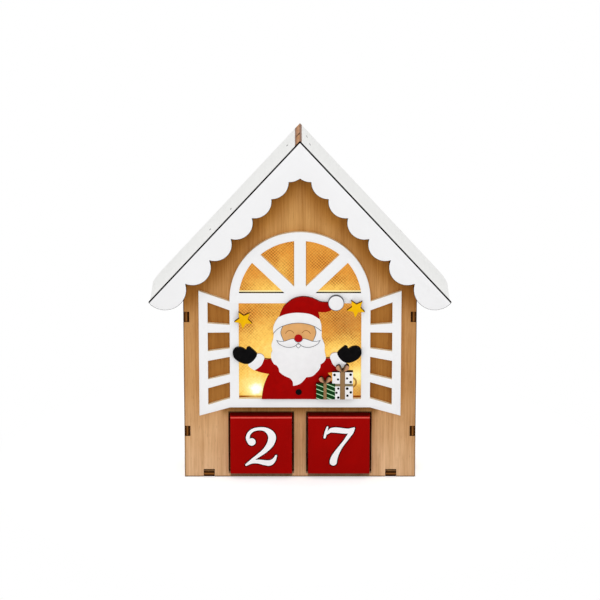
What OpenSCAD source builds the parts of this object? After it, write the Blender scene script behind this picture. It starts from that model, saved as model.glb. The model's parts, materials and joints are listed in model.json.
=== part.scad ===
// Wooden advent calendar in the shape of a little house.
// Front faces -Y, +Z is up, the origin is the centre of the base's outline on the floor.
// A laser-cut plywood box carries a gable roof, a scalloped trim, a lit window with
// a painted figure, and two loose number cubes that show the day.

/* [House] */
// Width of the house over its side panels
house_w = 152; // [140:1:170]
// Height from the floor to the tip of the gable trim
house_h = 230.7; // [225:1:245]
// Thickness of the plywood
ply = 3.8; // [3:0.1:4.4]
// Clearance of glued joints
fit = 0.1; // [0.05:0.05:0.2]

/* [Roof] */
// Half of the roof's span, from the ridge to an eave
roof_half = 98.2; // [92:1:104]
// Height of the roof from its eaves to its ridge
roof_rise = 107.7; // [100:1:114]
// Roof overhang before the front panel, behind the trim
roof_front = 6; // [4:0.5:9]
// Roof overhang behind the back panel
roof_back = 6.6; // [4:0.5:12]
// Corner radius of the roof at its back eaves
eave_r = 8.5; // [4:0.5:12]

/* [Gable trim] */
// Thickness of the trim board
trim_t = 3; // [2:0.5:4]
// Height that the trim stands above the roof's surface
trim_lip = 1.2; // [0.5:0.1:2]
// Depth of the trim under the ridge, at its middle notch
trim_mid = 24.6; // [20:0.5:28]
// Width of the trim at its first notch
trim_top_w = 12.9; // [10:0.1:15]
// Width of the trim at its last notch
trim_eave_w = 9.5; // [8:0.1:12]
// Least radius of the scallops
lobe_r = 11.3; // [9:0.5:13]

/* [Window] */
// Outer width of the window frame
window_w = 91.6; // [84:0.5:96]
// Width of the frame's upright bars
jamb_w = 5.9; // [4:0.5:8]
// Width of the fan's spokes
spoke_w = 7.6; // [5:0.5:9]
// Height of the bar between window and fan light
transom_w = 7; // [5:0.5:9]
// Height of the sill bar
sill_w = 6; // [4:0.5:8]
// Height of the sill bar's lower edge above the floor
sill_z = 49.3; // [48:0.5:52]
// Height from the top of the frame's arch to the tip of the gable trim
head_room = 61.8; // [56:0.1:66]
// Thickness of the frame board
frame_t = 3; // [2:0.5:4]
// Width of one opened shutter
shutter_w = 20.1; // [16:0.1:24]
// Height that a shutter's outer edge has over the main window's clear height
shutter_more = 20.1; // [15:0.1:25]
// Width of a shutter's outer bar
stile_w = 5.8; // [4:0.5:8]
// Width of the ledge between the frame's inner edge and the opening behind it, at the sides and the arch
ledge = 2; // [1:0.5:3]

/* [Figure and ornaments] */
// Thickness of the figure's backing plate
plate_t = 2; // [1.5:0.1:3]
// Thickness of one painted field
field_t = 0.2; // [0.1:0.05:0.4]
// Thickness of the parcels before the backing plate
gift_t = 2.6; // [1.5:0.1:3]
// Overlap of the figure's left mitten with the frame
mitten_lap = 3.4; // [2:0.2:5]
// Overlap of the figure's hat with the bar above
hat_lap = 6.1; // [3:0.2:8]
// Gap between the sill bar and the figure's foot
foot_gap = 0.5; // [0.2:0.1:2]
// Outer radius of a star
star_r = 6.2; // [4:0.2:8]
// Thickness of a star
star_t = 3; // [2:0.5:4]

/* [Number cubes] */
// Edge length of a cube
cube_w = 40.6; // [38:0.2:41.4]
// Rounding of a cube's edges
cube_r = 0.9; // [0.4:0.1:2]
// Distance that a cube stands out of the front
cube_proud = 5.5; // [3:0.5:9]
// Distance between the two cubes' centres
cube_pitch = 51; // [50:0.5:54]
// Width of an opening for a cube
pocket_w = 42.8; // [42.4:0.2:44]
// Clearance above a cube
cube_head = 0.5; // [0.4:0.1:1.5]
// Clearance behind a cube
cube_back = 0.5; // [0.3:0.1:2]

/* [Lighting] */
// Thickness of the woven sheet behind the window
sheet_t = 0.6; // [0.3:0.1:1.2]
// Distance from the woven sheet to the lamp board
lamp_gap = 10.6; // [9:0.2:12]
// Thickness of the lamp board
board_t = 2.5; // [2:0.5:3]
// Diameter of a lamp
lamp_d = 5; // [3:0.5:6]
// Length of a lamp before its collar
lamp_l = 8; // [6:0.5:9]
// Diameter of the lead
lead_d = 1.3; // [0.8:0.1:1.6]

/* [Battery box] */
// Diameter of a battery cell
cell_d = 10.5; // [10:0.1:11]
// Length of a battery cell
cell_l = 44.5; // [40:0.5:48]
// Wall of the battery box
box_wall = 1.5; // [1.2:0.1:2]
// Thickness of the box's flange outside the back panel
flange_t = 3; // [2.8:0.1:4]
// Width of the flange around the box
flange_w = 4.5; // [4:0.5:7]
// Height of the box's middle above the floor
box_z = 86; // [80:1:95]
// Thickness of the sliding lid
lid_t = 1.4; // [1.2:0.1:1.6]
// Travel of the switch
switch_travel = 4; // [3:0.5:5]

/* [Hidden] */

// Overrun of a cut past the surface that it opens
over = 1;
// Sides of a true circle, and steps between two points of a smoothed outline
round_fn = 96;
small_fn = 40;
steps = 4;

// Depth of the house from face to face, and the Y places that follow from it
house_d = cube_w - cube_proud + cube_back + ply;
depth_all = trim_t + roof_front + house_d + roof_back;
trim_y = -depth_all / 2;
roof_y = trim_y + trim_t;
front_y = roof_y + roof_front;
back_y = front_y + house_d;
inner_front = front_y + ply;
inner_back = back_y - ply;
roof_end = back_y + roof_back;
frame_y = front_y - frame_t;
plate_y = frame_y - plate_t;

// The roof's slope, and its length from ridge to eave along the trim's edge
slope = atan(roof_rise / roof_half);
roof_l = roof_half / cos(slope);
roof_under = trim_lip + ply;

// Heights inside the house
pocket_top = ply + cube_w + cube_head;
shelf_z = pocket_top + cube_head;
shelf_top = shelf_z + ply;
pane_w = window_w - 2 * jamb_w;
pane_z = sill_z + sill_w;
fan_z = house_h - head_room - window_w / 2;
// The fan's centre lies a third of the way up the bar below it
fan_share = 0.33;
transom_z = fan_z - fan_share * transom_w;
pane_h = transom_z - pane_z;
shutter_h = pane_h + shutter_more;
opening_w = pane_w + 2 * ledge;

// A point under the trim's upper edge: distance along the slope from the ridge, and depth square to it
function roof_at(along, drop, side = 1) = [side * (along * cos(slope) - drop * sin(slope)),
    house_h - along * sin(slope) - drop * cos(slope)];
// Height of a line that runs under the trim's upper edge at a given depth
function roof_line(x, drop) = house_h - drop / cos(slope) - abs(x) * tan(slope);

// A smooth open curve through points, without its last point, so that stretches can be joined
function stretch(p) = [for (i = [0 : len(p) - 2]) for (j = [0 : steps - 1])
    let(t = j / steps, a = p[max(i - 1, 0)], b = p[i], c = p[i + 1], d = p[min(i + 2, len(p) - 1)])
    (2 * b + (c - a) * t + (2 * a - 5 * b + 4 * c - d) * t * t + (3 * b - a - 3 * c + d) * t * t * t) / 2];
function backwards(p) = [for (i = [len(p) - 1 : -1 : 0]) p[i]];
function flipped(p, mid) = [for (q = backwards(p)) [2 * mid - q[0], q[1]]];

// An upright board: a drawing in X and Z, made solid from y0 towards the back
module upright(y0, t) translate([0, y0 + t, 0]) rotate([90, 0, 0]) linear_extrude(t) children();
// A side board: a drawing in Y and Z, made solid from x0 towards +X
module sideways(x0, t) translate([x0, 0, 0]) rotate([90, 0, 90]) linear_extrude(t) children();
// A rectangle by its lowest corner and its highest
module area(low, high) translate(low) square(high - low);

// Fingers of the side panels, and tabs of the boards between them
finger_h = 6.8;
finger_shares = [0.267, 0.925];
wall_h = roof_line(house_w / 2, roof_under) - fit;
// The fingers stand at shares of the straight wall below the eaves
wall_ref = house_h - roof_rise - finger_h / 2;
tab_w = 7;
// A tab stands between the outer edge of a cube's opening and the house's side
tab_share = 0.447;
pocket_edge = (cube_pitch + pocket_w) / 2;
tab_x = pocket_edge + tab_share * (house_w / 2 - pocket_edge);
tab_slack = 1.4;
// Ends of fingers and tabs lie a little below the face that they come through
tab_sunk = 0.3;
side_tab_w = 10;

function finger_z() = [for (s = finger_shares) s * wall_ref];

// Outline of the front and back panels, with notches for fingers and tabs
module gable_outline() {
    difference() {
        polygon([[-house_w / 2, 0], [house_w / 2, 0], [house_w / 2, wall_h],
            [0, roof_line(0, roof_under) - fit], [-house_w / 2, wall_h]]);
        for (side = [-1, 1]) {
            for (z = finger_z())
                translate([side * house_w / 2, z])
                    square([2 * (ply + fit), finger_h + 2 * fit], center = true);
            area([side * tab_x - tab_w / 2 - fit, -over], [side * tab_x + tab_w / 2 + fit, ply + tab_slack]);
        }
    }
}

// Outline of the window opening in the front panel
module window_outline(half, low) {
    area([-half, low], [half, fan_z]);
    translate([0, fan_z]) intersection() {
        circle(half, $fn = round_fn);
        area([-half - over, -over], [half + over, half + over]);
    }
}

module front_panel() {
    color("burlywood") upright(front_y, ply) difference() {
        gable_outline();
        window_outline(opening_w / 2, pane_z);
        for (side = [-1, 1])
            translate([side * cube_pitch / 2, 0])
                area([-pocket_w / 2, ply], [pocket_w / 2, pocket_top]);
    }
}

// Size of the battery box: each cell has a spring at one end and a plate at the other,
// and the switch has a chamber of its own on the right
cell_gap = 0.4;
contact_t = 0.5;
spring_l = 4.5;
cavity_l = cell_l + spring_l + 2 * contact_t + cell_gap;
cavity_w = 2 * cell_d + 3 * cell_gap;
cavity_d = cell_d + 2 * cell_gap;
switch_room = 9;
box_l = cavity_l + switch_room + 3 * box_wall;
box_w = cavity_w + 2 * box_wall;
box_x = -box_l / 2;
cavity_x = box_x + box_wall;
switch_x = cavity_x + cavity_l + box_wall;

// The lid slides in grooves of the flange, under a lip on each side
lid_fit = 0.15;
lid_seat = 0.6;
lid_bite = 0.8;
groove_bite = 1.6;
lip_bite = 0.6;
flange_l = box_l + 2 * flange_w;
flange_h = box_w + 2 * flange_w;
groove_w = cavity_w + 2 * groove_bite;
lip_w = cavity_w + 2 * lip_bite;
lid_y = back_y + lid_seat;
lid_end = cavity_x + cavity_l + lid_bite;
cavity_y = lid_y - lid_fit - cavity_d;
box_y = cavity_y - box_wall;

// Two screws hold the flange to the back panel, at opposite corners
screw_r = 1.1;
screw_head_r = 2.1;
screw_head_h = 1.2;
screw_slot = 0.6;
screw_inset = 2.5;
screw_places = [for (side = [-1, 1])
    side * [flange_l / 2 - screw_inset, flange_h / 2 - screw_inset]];

module back_panel() {
    color("tan") upright(inner_back, ply) difference() {
        gable_outline();
        translate([0, box_z]) {
            square([box_l + 2 * fit, box_w + 2 * fit], center = true);
            for (p = screw_places) translate(p) circle(screw_r + fit, $fn = small_fn);
        }
    }
}

module side_panel(side) {
    x0 = side > 0 ? house_w / 2 - ply : -house_w / 2;
    sideways(x0, ply) difference() {
        union() {
            area([inner_front, 0], [inner_back, wall_h]);
            for (z = finger_z())
                area([front_y + tab_sunk, z - finger_h / 2], [back_y - tab_sunk, z + finger_h / 2]);
        }
        for (z = [0, shelf_z])
            translate([(inner_front + inner_back) / 2, z])
                area([-side_tab_w / 2 - fit, z > 0 ? -fit : -over], [side_tab_w / 2 + fit, ply + fit]);
    }
}
module side_panel_left() color("burlywood") side_panel(-1);
module side_panel_right() color("burlywood") side_panel(1);

// A level board between the side panels, with a tab into each of them
module level_board() {
    translate([0, (inner_front + inner_back) / 2]) {
        square([house_w - 2 * ply, inner_back - inner_front], center = true);
        square([house_w - 2 * tab_sunk, side_tab_w], center = true);
    }
}

module base_board() {
    color("burlywood") linear_extrude(ply) {
        level_board();
        for (side = [-1, 1])
            area([side * tab_x - tab_w / 2, front_y + tab_sunk], [side * tab_x + tab_w / 2, back_y - tab_sunk]);
    }
}

module inner_shelf() color("burlywood") translate([0, 0, shelf_z]) linear_extrude(ply) level_board();

module block_divider() {
    color("burlywood") sideways(-ply / 2, ply) area([inner_front, ply], [inner_back, shelf_z]);
}

// Where the right roof panel's end meets the left panel's surface, along each slope
roof_top = trim_lip * tan(slope);
right_end = (trim_lip - roof_under * cos(2 * slope)) / sin(2 * slope);
left_end = (roof_under + trim_lip) * tan(slope) - right_end;

// A roof panel on the right: its section is made solid along the house, and its back eave corner rounded
module roof_panel(section) {
    difference() {
        upright(roof_y, roof_end - roof_y) polygon(section);
        translate([0, 0, house_h]) rotate([0, slope, 0])
            translate([roof_l - eave_r, roof_end - eave_r, -roof_under - over])
            linear_extrude(roof_under + 2 * over) difference() {
                area([0, 0], [eave_r + over, eave_r + over]);
                circle(eave_r, $fn = round_fn);
            }
    }
}

module roof_panel_right() {
    color("white") roof_panel([roof_at(roof_top, trim_lip), roof_at(roof_l, trim_lip),
        roof_at(roof_l, roof_under), roof_at(right_end, roof_under)]);
}

module roof_panel_left() {
    color("white") mirror([1, 0, 0]) roof_panel([roof_at(left_end, trim_lip), roof_at(roof_l, trim_lip),
        roof_at(roof_l, roof_under), roof_at(roof_under * tan(slope), roof_under)]);
}

// Notches of the trim lie at shares of the roof's length, and the trim narrows evenly between them
notch_shares = [0.169, 0.278, 0.4, 0.534, 0.671, 0.824];
notches = [for (s = notch_shares) let(t = (s - notch_shares[0]) / (notch_shares[5] - notch_shares[0]))
    roof_at(s * roof_l, trim_top_w + t * (trim_eave_w - trim_top_w), -1)];
trim_edge = concat([[0, house_h - trim_mid]], notches, [roof_at(roof_l, 0, -1)]);
// A scallop's radius is at least this share of the distance between its notches, over one half
lobe_least_shares = [0.506, 0.506, 0.506, 0.506, 0.506, 0.543, 0.512];
lobe_steps = 16;

// A scallop is an arc from one notch to the next that bulges away from the roof, without its last point
function turned(a) = a < 0 ? a + 360 : a;
function lobe(p, q, least) = let(chord = norm(q - p), r = max(lobe_r, least * chord),
    rise = sqrt(r * r - chord * chord / 4),
    mid = (p + q) / 2 + rise / chord * [q[1] - p[1], p[0] - q[0]],
    start = atan2(p[1] - mid[1], p[0] - mid[0]), end = atan2(q[1] - mid[1], q[0] - mid[0]))
    [for (i = [0 : lobe_steps - 1]) let(a = start - turned(start - end) * i / lobe_steps)
        mid + r * [cos(a), sin(a)]];
trim_left = [for (i = [0 : len(trim_edge) - 2])
    each lobe(trim_edge[i], trim_edge[i + 1], lobe_least_shares[i])];

module fascia_trim() {
    right_edge = [for (p = flipped(trim_left, 0)) if (p[0] > 0) p];
    color("white") upright(trim_y, trim_t)
        polygon(concat(trim_left, [roof_at(roof_l, 0, -1), [0, house_h], roof_at(roof_l, 0)], right_edge));
}

// Edges of a shutter's bars, from bottom to top, at its outer edge and where it meets the frame
outer_shares = [0, 0.089, 0.222, 0.293, 0.442, 0.519, 0.668, 0.743, 0.91, 1];
inner_shares = [0, 0.087, 0.24, 0.315, 0.48, 0.56, 0.71, 0.782, 0.918, 1];
// The shutter reaches further down and up at its outer edge, which makes it look swung open
shutter_drop_share = 0.067;
shutter_root_share = 0.849;
shutter_low = sill_z - shutter_drop_share * shutter_h;
shutter_root_h = shutter_root_share * shutter_h;

module shutter() {
    x0 = -window_w / 2 - shutter_w;
    x1 = x0 + stile_w;
    x2 = -window_w / 2;
    difference() {
        polygon([[x0, shutter_low], [x2, sill_z], [x2 + jamb_w / 2, sill_z],
            [x2 + jamb_w / 2, sill_z + shutter_root_h], [x2, sill_z + shutter_root_h],
            [x0, shutter_low + shutter_h]]);
        for (i = [1 : 2 : 7])
            polygon([[x1, shutter_low + outer_shares[i] * shutter_h],
                [x2, sill_z + inner_shares[i] * shutter_root_h],
                [x2, sill_z + inner_shares[i + 1] * shutter_root_h],
                [x1, shutter_low + outer_shares[i + 1] * shutter_h]]);
    }
}

module window_frame() {
    spoke_turn = 45.5;
    color("white") upright(frame_y, frame_t) {
        difference() {
            window_outline(window_w / 2, sill_z);
            window_outline(pane_w / 2, pane_z);
        }
        area([-pane_w / 2 - over, transom_z], [pane_w / 2 + over, transom_z + transom_w]);
        for (turn = [-spoke_turn, 0, spoke_turn])
            translate([0, fan_z]) rotate(turn) area([-spoke_w / 2, 0], [spoke_w / 2, pane_w / 2 + over]);
        shutter();
        mirror([1, 0]) shutter();
    }
}

// The woven sheet covers the opening from behind
sheet_lap = 5;
module backdrop_sheet() {
    color("sandybrown") upright(inner_front, sheet_t)
        window_outline(opening_w / 2 + sheet_lap, shelf_top);
}

// The figure fills the main window: its outlines are shares of this width and height
fig_w = pane_w + mitten_lap;
fig_h = pane_h - foot_gap + hat_lap;
fig_x = -mitten_lap / 2;
fig_z = pane_z + foot_gap;
function on_figure(shares) = [for (s = shares) [fig_x + s[0] * fig_w, fig_z + s[1] * fig_h]];
module field(shares) polygon(on_figure(shares));
module spot(shares, r) translate([fig_x + shares[0] * fig_w, fig_z + shares[1] * fig_h])
    circle(r, $fn = small_fn);

// Middle of the head, and middle of the two hands
head_share = 0.008;
hands_share = -0.002;
hand_raise_share = [0, 0.01];

coat_side_shares = [[-0.28, 0], [-0.273, 0.073], [-0.26, 0.138], [-0.235, 0.211], [-0.218, 0.243]];
arm_under_shares = [[-0.218, 0.243], [-0.265, 0.253], [-0.306, 0.266], [-0.334, 0.28]];
cuff_line_shares = [[-0.334, 0.28], [-0.286, 0.322], [-0.267, 0.368], [-0.259, 0.391]];
coat_half_shares = concat(stretch(coat_side_shares), stretch(arm_under_shares),
    stretch(cuff_line_shares), [[-0.259, 0.391], [-0.25, 0.385]]);
// The right arm is held a little higher than the left one
arm_from_share = 0.22;
coat_right_shares = [for (s = flipped(coat_half_shares, head_share))
    s[1] > arm_from_share ? s + hand_raise_share : s];
module coat_outline() field(concat(coat_half_shares, coat_right_shares));

cuff_hand_shares = [[-0.312, 0.439], [-0.282, 0.434], [-0.263, 0.414], [-0.259, 0.391]];
cuff_low_shares = [[-0.334, 0.28], [-0.356, 0.293], [-0.386, 0.335], [-0.341, 0.4], [-0.312, 0.439]];
cuff_shares = concat(stretch(cuff_hand_shares), stretch(backwards(cuff_line_shares)),
    stretch(cuff_low_shares));
// In the plate, sleeve and cuff are one: the cuff's outline runs on into the coat
forearm_shares = concat(stretch(cuff_hand_shares), [[-0.259, 0.391], [-0.2, 0.38], [-0.22, 0.28], [-0.3, 0.272]],
    stretch(cuff_low_shares));
mitten_shares = concat(
    stretch([[-0.369, 0.506], [-0.332, 0.469], [-0.309, 0.432], [-0.328, 0.386], [-0.362, 0.349],
        [-0.4, 0.34], [-0.446, 0.358], [-0.486, 0.395], [-0.5, 0.441], [-0.488, 0.483],
        [-0.458, 0.501], [-0.421, 0.494], [-0.395, 0.473]]),
    stretch([[-0.395, 0.473], [-0.388, 0.496], [-0.369, 0.506]]));

// Both hands are one shape, mirrored, the right one a little higher
module hands(shares, out_share = 0) {
    field([for (s = shares) s - [out_share, 0]]);
    field([for (s = flipped(shares, hands_share)) s + [out_share, 0] + hand_raise_share]);
}
// The mittens reach a little further out than the cuffs that they come from
mitten_out_share = 0.007;

beard_left_shares = [
    [[-0.184, 0.634], [-0.19, 0.579], [-0.203, 0.524], [-0.195, 0.469]],
    [[-0.195, 0.469], [-0.206, 0.432], [-0.203, 0.384], [-0.182, 0.337]],
    [[-0.182, 0.337], [-0.164, 0.328], [-0.147, 0.297], [-0.142, 0.265]],
    [[-0.142, 0.265], [-0.123, 0.244], [-0.099, 0.225], [-0.063, 0.206]],
    [[-0.063, 0.206], [-0.049, 0.192], [-0.036, 0.166], [-0.034, 0.13]]];
beard_right_shares = [
    [[-0.034, 0.13], [0.0, 0.138], [0.034, 0.161], [0.071, 0.213]],
    [[0.071, 0.213], [0.098, 0.216], [0.128, 0.231], [0.166, 0.279]],
    [[0.166, 0.279], [0.176, 0.298], [0.181, 0.317], [0.181, 0.338]],
    [[0.181, 0.338], [0.205, 0.357], [0.222, 0.39], [0.22, 0.423], [0.212, 0.469]],
    [[0.212, 0.469], [0.213, 0.52], [0.2, 0.565], [0.19, 0.598], [0.19, 0.657]]];
// The beard's upper edge is hidden by the hat's brim
beard_top_shares = [[0.19, 0.657], [0.15, 0.75], [-0.14, 0.75]];
beard_shares = concat([for (part = concat(beard_left_shares, beard_right_shares)) for (p = stretch(part)) p],
    beard_top_shares);

brim_shares = concat(
    stretch([[-0.146, 0.792], [-0.103, 0.815], [-0.043, 0.831], [0.019, 0.834], [0.106, 0.819],
        [0.173, 0.772]]),
    stretch([[0.173, 0.772], [0.187, 0.715], [0.188, 0.657]]),
    stretch([[0.188, 0.657], [0.13, 0.703], [0.071, 0.726], [0.008, 0.734], [-0.056, 0.726],
        [-0.116, 0.703], [-0.158, 0.672], [-0.187, 0.634]]),
    stretch([[-0.187, 0.634], [-0.189, 0.69], [-0.171, 0.748], [-0.146, 0.792]]));
face_shares = concat(
    stretch([[-0.1, 0.735], [-0.122, 0.69], [-0.132, 0.644], [-0.12, 0.593], [-0.09, 0.545],
        [0.008, 0.53], [0.106, 0.545], [0.136, 0.593], [0.148, 0.644], [0.138, 0.69], [0.116, 0.735]]),
    [[0.116, 0.735]]);
moustache_shares = concat(
    stretch([[-0.164, 0.571], [-0.13, 0.562], [-0.1, 0.565], [-0.07, 0.577], [-0.035, 0.588],
        [0.008, 0.578]]),
    stretch([[0.008, 0.578], [0.051, 0.588], [0.086, 0.577], [0.116, 0.565], [0.146, 0.562],
        [0.18, 0.571]]),
    stretch([[0.18, 0.571], [0.16, 0.533], [0.116, 0.506], [0.071, 0.5], [0.034, 0.513],
        [0.008, 0.541]]),
    stretch([[0.008, 0.541], [-0.018, 0.513], [-0.055, 0.5], [-0.1, 0.506], [-0.144, 0.533],
        [-0.164, 0.571]]));
hat_shares = concat(
    stretch([[-0.145, 0.78], [-0.125, 0.847], [-0.101, 0.897], [-0.045, 0.956], [0.011, 0.981],
        [0.056, 0.985], [0.108, 0.975], [0.15, 0.953], [0.19, 0.934], [0.3, 0.926]]),
    stretch([[0.3, 0.926], [0.268, 0.862], [0.22, 0.839], [0.16, 0.841]]),
    stretch([[0.16, 0.841], [0.171, 0.8], [0.172, 0.755]]),
    [[0.172, 0.755]]);

nose_at_share = [0.008, 0.59];
nose_r_share = 0.036;
pompom_at_share = [0.302, 0.925];
pompom_r_share = 0.073;
button_at_share = [0.01, 0.069];
button_r_share = 0.029;
module nose_outline() spot(nose_at_share, nose_r_share * fig_h);
module pompom_outline() spot(pompom_at_share, pompom_r_share * fig_h);

// The parcels: two corners each, the middle of the ribbon and its half width, and the bow above.
// They stand a little higher than the coat's hem, because they come further forward
gift_foot_share = 0.009;
white_low_share = [0.273, gift_foot_share];
white_high_share = [0.436, 0.272];
green_low_share = [0.148, gift_foot_share];
green_high_share = [0.296, 0.163];
module parcel(low, high) field([low, [high[0], low[1]], high, [low[0], high[1]]]);
module white_parcel() difference() {
    parcel(white_low_share, white_high_share);
    green_parcel();
}
module green_parcel() parcel(green_low_share, green_high_share);

// One loop of a bow, from its knot outwards, in shares of the figure
bow_loop_shares = [[0, 0], [-0.008, 0.028], [-0.016, 0.052], [-0.027, 0.062], [-0.043, 0.056],
    [-0.052, 0.042], [-0.047, 0.023], [-0.028, 0.006], [0, -0.004]];
bow_knot_shares = [[-0.012, -0.006], [0.012, -0.006], [0.012, 0.014], [-0.012, 0.014]];
module bow(at, grow) {
    loop = stretch([for (s = bow_loop_shares) grow * s]);
    field([for (s = loop) at + s]);
    field([for (s = flipped(loop, 0)) at + s]);
    field([for (s = bow_knot_shares) at + grow * s]);
}
white_knot_share = [0.354, 0.278];
green_knot_share = [0.217, 0.169];
green_bow_share = 0.93;
module white_bow() difference() {
    bow(white_knot_share, 1);
    parcel(white_low_share, white_high_share);
}
module green_bow() difference() {
    bow(green_knot_share, green_bow_share);
    green_parcel();
}

// A painted field stands before the backing plate, one or more layers thick
module layer(from, to) upright(plate_y - to * field_t, (to - from) * field_t) children();
// The parcels are thicker, and their ribbons are painted on them
gift_y = plate_y - gift_t;
module parcel_board(paint = 0) upright(gift_y - paint, gift_t + paint) children();
module ribbon_paint() upright(gift_y - field_t, field_t) children();

module figure_plate() {
    color("peru") upright(plate_y, plate_t) union() {
        coat_outline();
        hands(forearm_shares);
        hands(mitten_shares, mitten_out_share);
        field(beard_shares);
        field(brim_shares);
        field(hat_shares);
        pompom_outline();
        parcel(white_low_share, white_high_share);
        green_parcel();
        bow(white_knot_share, 1);
        bow(green_knot_share, green_bow_share);
    }
}

module santa_coat() {
    color("darkred") layer(0, 1) difference() {
        coat_outline();
        field(beard_shares);
        hands(cuff_shares);
        parcel(white_low_share, white_high_share);
        green_parcel();
        white_bow();
        green_bow();
    }
}
module santa_cuffs() color("white") layer(0, 1) difference() {
    hands(cuff_shares);
    hands(mitten_shares, mitten_out_share);
    white_bow();
}
module santa_mittens() color("black") layer(0, 1) hands(mitten_shares, mitten_out_share);
module santa_beard() color("white") layer(0, 1) difference() {
    field(beard_shares);
    field(face_shares);
    field(brim_shares);
    nose_outline();
}
module santa_face() color("tan") layer(0, 1) difference() {
    field(face_shares);
    field(brim_shares);
    nose_outline();
}
module santa_moustache() color("white") layer(1, 2) difference() {
    field(moustache_shares);
    nose_outline();
}
module santa_nose() color("red") layer(0, 3) nose_outline();
module santa_hat() color("darkred") layer(0, 1) difference() {
    field(hat_shares);
    field(brim_shares);
    pompom_outline();
}
module santa_hat_brim() color("white") layer(0, 2) field(brim_shares);
module santa_pompom() color("white") layer(0, 2) pompom_outline();
module santa_button() color("black") layer(1, 2) spot(button_at_share, button_r_share * fig_h);

// Ribbons lie on the parcels, and their bows stand above them on the plate
white_ribbon_share = 0.0195;
green_ribbon_share = 0.0125;
band_low_share = 0.136;
band_high_share = 0.16;
module gift_white() color("white") parcel_board() white_parcel();
module gift_green() color("darkgreen") parcel_board() green_parcel();
module gift_white_ribbon() {
    color("rosybrown") {
        ribbon_paint() intersection() {
            white_parcel();
            union() {
                parcel([white_knot_share[0] - white_ribbon_share, gift_foot_share],
                    [white_knot_share[0] + white_ribbon_share, white_high_share[1]]);
                parcel([white_low_share[0], band_low_share], [white_high_share[0], band_high_share]);
            }
        }
        parcel_board(field_t) white_bow();
    }
}
module gift_green_ribbon() {
    color("rosybrown") {
        ribbon_paint() parcel([green_knot_share[0] - green_ribbon_share, gift_foot_share],
            [green_knot_share[0] + green_ribbon_share, green_high_share[1]]);
        parcel_board(field_t) green_bow();
    }
}

// Stars with one point down, glued over the frame's edge
star_inner_share = 0.46;
star_turn = -5;
left_star_share = [0.46, 0.84];
right_star_share = [0.456, 0.959];
module star(x, z) {
    upright(frame_y - star_t, star_t) translate([x, z]) rotate(star_turn - 90)
        polygon([for (i = [0 : 9]) (i % 2 == 0 ? 1 : star_inner_share) * star_r
            * [cos(36 * i), sin(36 * i)]]);
}
module star_left() color("gold") star(-left_star_share[0] * pane_w, pane_z + left_star_share[1] * pane_h);
module star_right() color("gold") star(right_star_share[0] * pane_w, pane_z + right_star_share[1] * pane_h);

// Lamps stand through a board behind the sheet, and their lead runs behind that board
board_y = inner_front + sheet_t + lamp_gap;
board_back = board_y + board_t;
// The board ends a little under the roof at its outer corners
board_gap = 5;
board_top = roof_line(house_w / 2 - ply, roof_under) - board_gap;
board_h = board_top - shelf_top;
collar_t = 1;
collar_w = 0.4;
sleeve_l = 3.4;
lamp_fit = 0.05;
// Places of the lamps, as shares of the main window's width and of the board's height
lamp_shares = [[-0.363, 0.097], [0.363, 0.097], [0, 0.465], [-0.35, 0.844], [0.326, 0.844]];
lamp_places = [for (s = lamp_shares) [s[0] * pane_w, shelf_top + s[1] * board_h]];

module at_lamps() for (p = lamp_places) translate([p[0], 0, p[1]]) rotate([-90, 0, 0]) children();

module lamp_board() {
    color("ivory") upright(board_y, board_t) difference() {
        area([-house_w / 2 + ply, shelf_top], [house_w / 2 - ply, board_top]);
        for (p = lamp_places) translate(p) circle(lamp_d / 2 + lamp_fit, $fn = small_fn);
    }
}

// A lamp is a domed cylinder with a collar at its back end
module lamps() {
    color("lightyellow") at_lamps() translate([0, 0, board_back]) rotate_extrude($fn = small_fn) {
        area([0, 0], [lamp_d / 2 + collar_w, collar_t]);
        area([0, lamp_d / 2 - lamp_l - board_t], [lamp_d / 2, 0]);
        translate([0, lamp_d / 2 - lamp_l - board_t]) intersection() {
            circle(lamp_d / 2, $fn = small_fn);
            area([0, -lamp_d], [lamp_d, 0]);
        }
    }
}
module lamp_sleeves() {
    color("dimgray") at_lamps() translate([0, 0, board_back + collar_t])
        cylinder(h = sleeve_l, r = lamp_d / 2 - collar_w, $fn = small_fn);
}

// The lead runs from the battery box past all the lamps, behind their sleeves
lead_sides = 8;
lead_points = [[24, 8.5, 76], [24, 6.5, 76], [24.5, 4.8, 74.5], [26, 4.2, 70], [30, 4.2, 63], [29, 4.2, 57],
    [24, 4.2, 53], [12, 4.2, 52], [-10, 4.2, 53], [-22, 4.2, 54], [-29, 4.2, 58], [-36, 4.2, 66],
    [-41, 4.2, 80], [-42, 4.2, 96], [-40, 4.2, 112], [-35, 4.2, 121], [-28, 4.2, 125], [-18, 4.2, 128],
    [-2, 4.2, 129], [14, 4.2, 128], [26, 4.2, 125], [33, 4.2, 119], [33, 4.2, 110], [26, 4.2, 102],
    [12, 4.2, 96], [0, 4.2, 91]];
lead_fine = stretch(lead_points);
lead_path = concat([for (i = [0 : 2 : len(lead_fine) - 1]) lead_fine[i]], [lead_points[len(lead_points) - 1]]);

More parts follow.
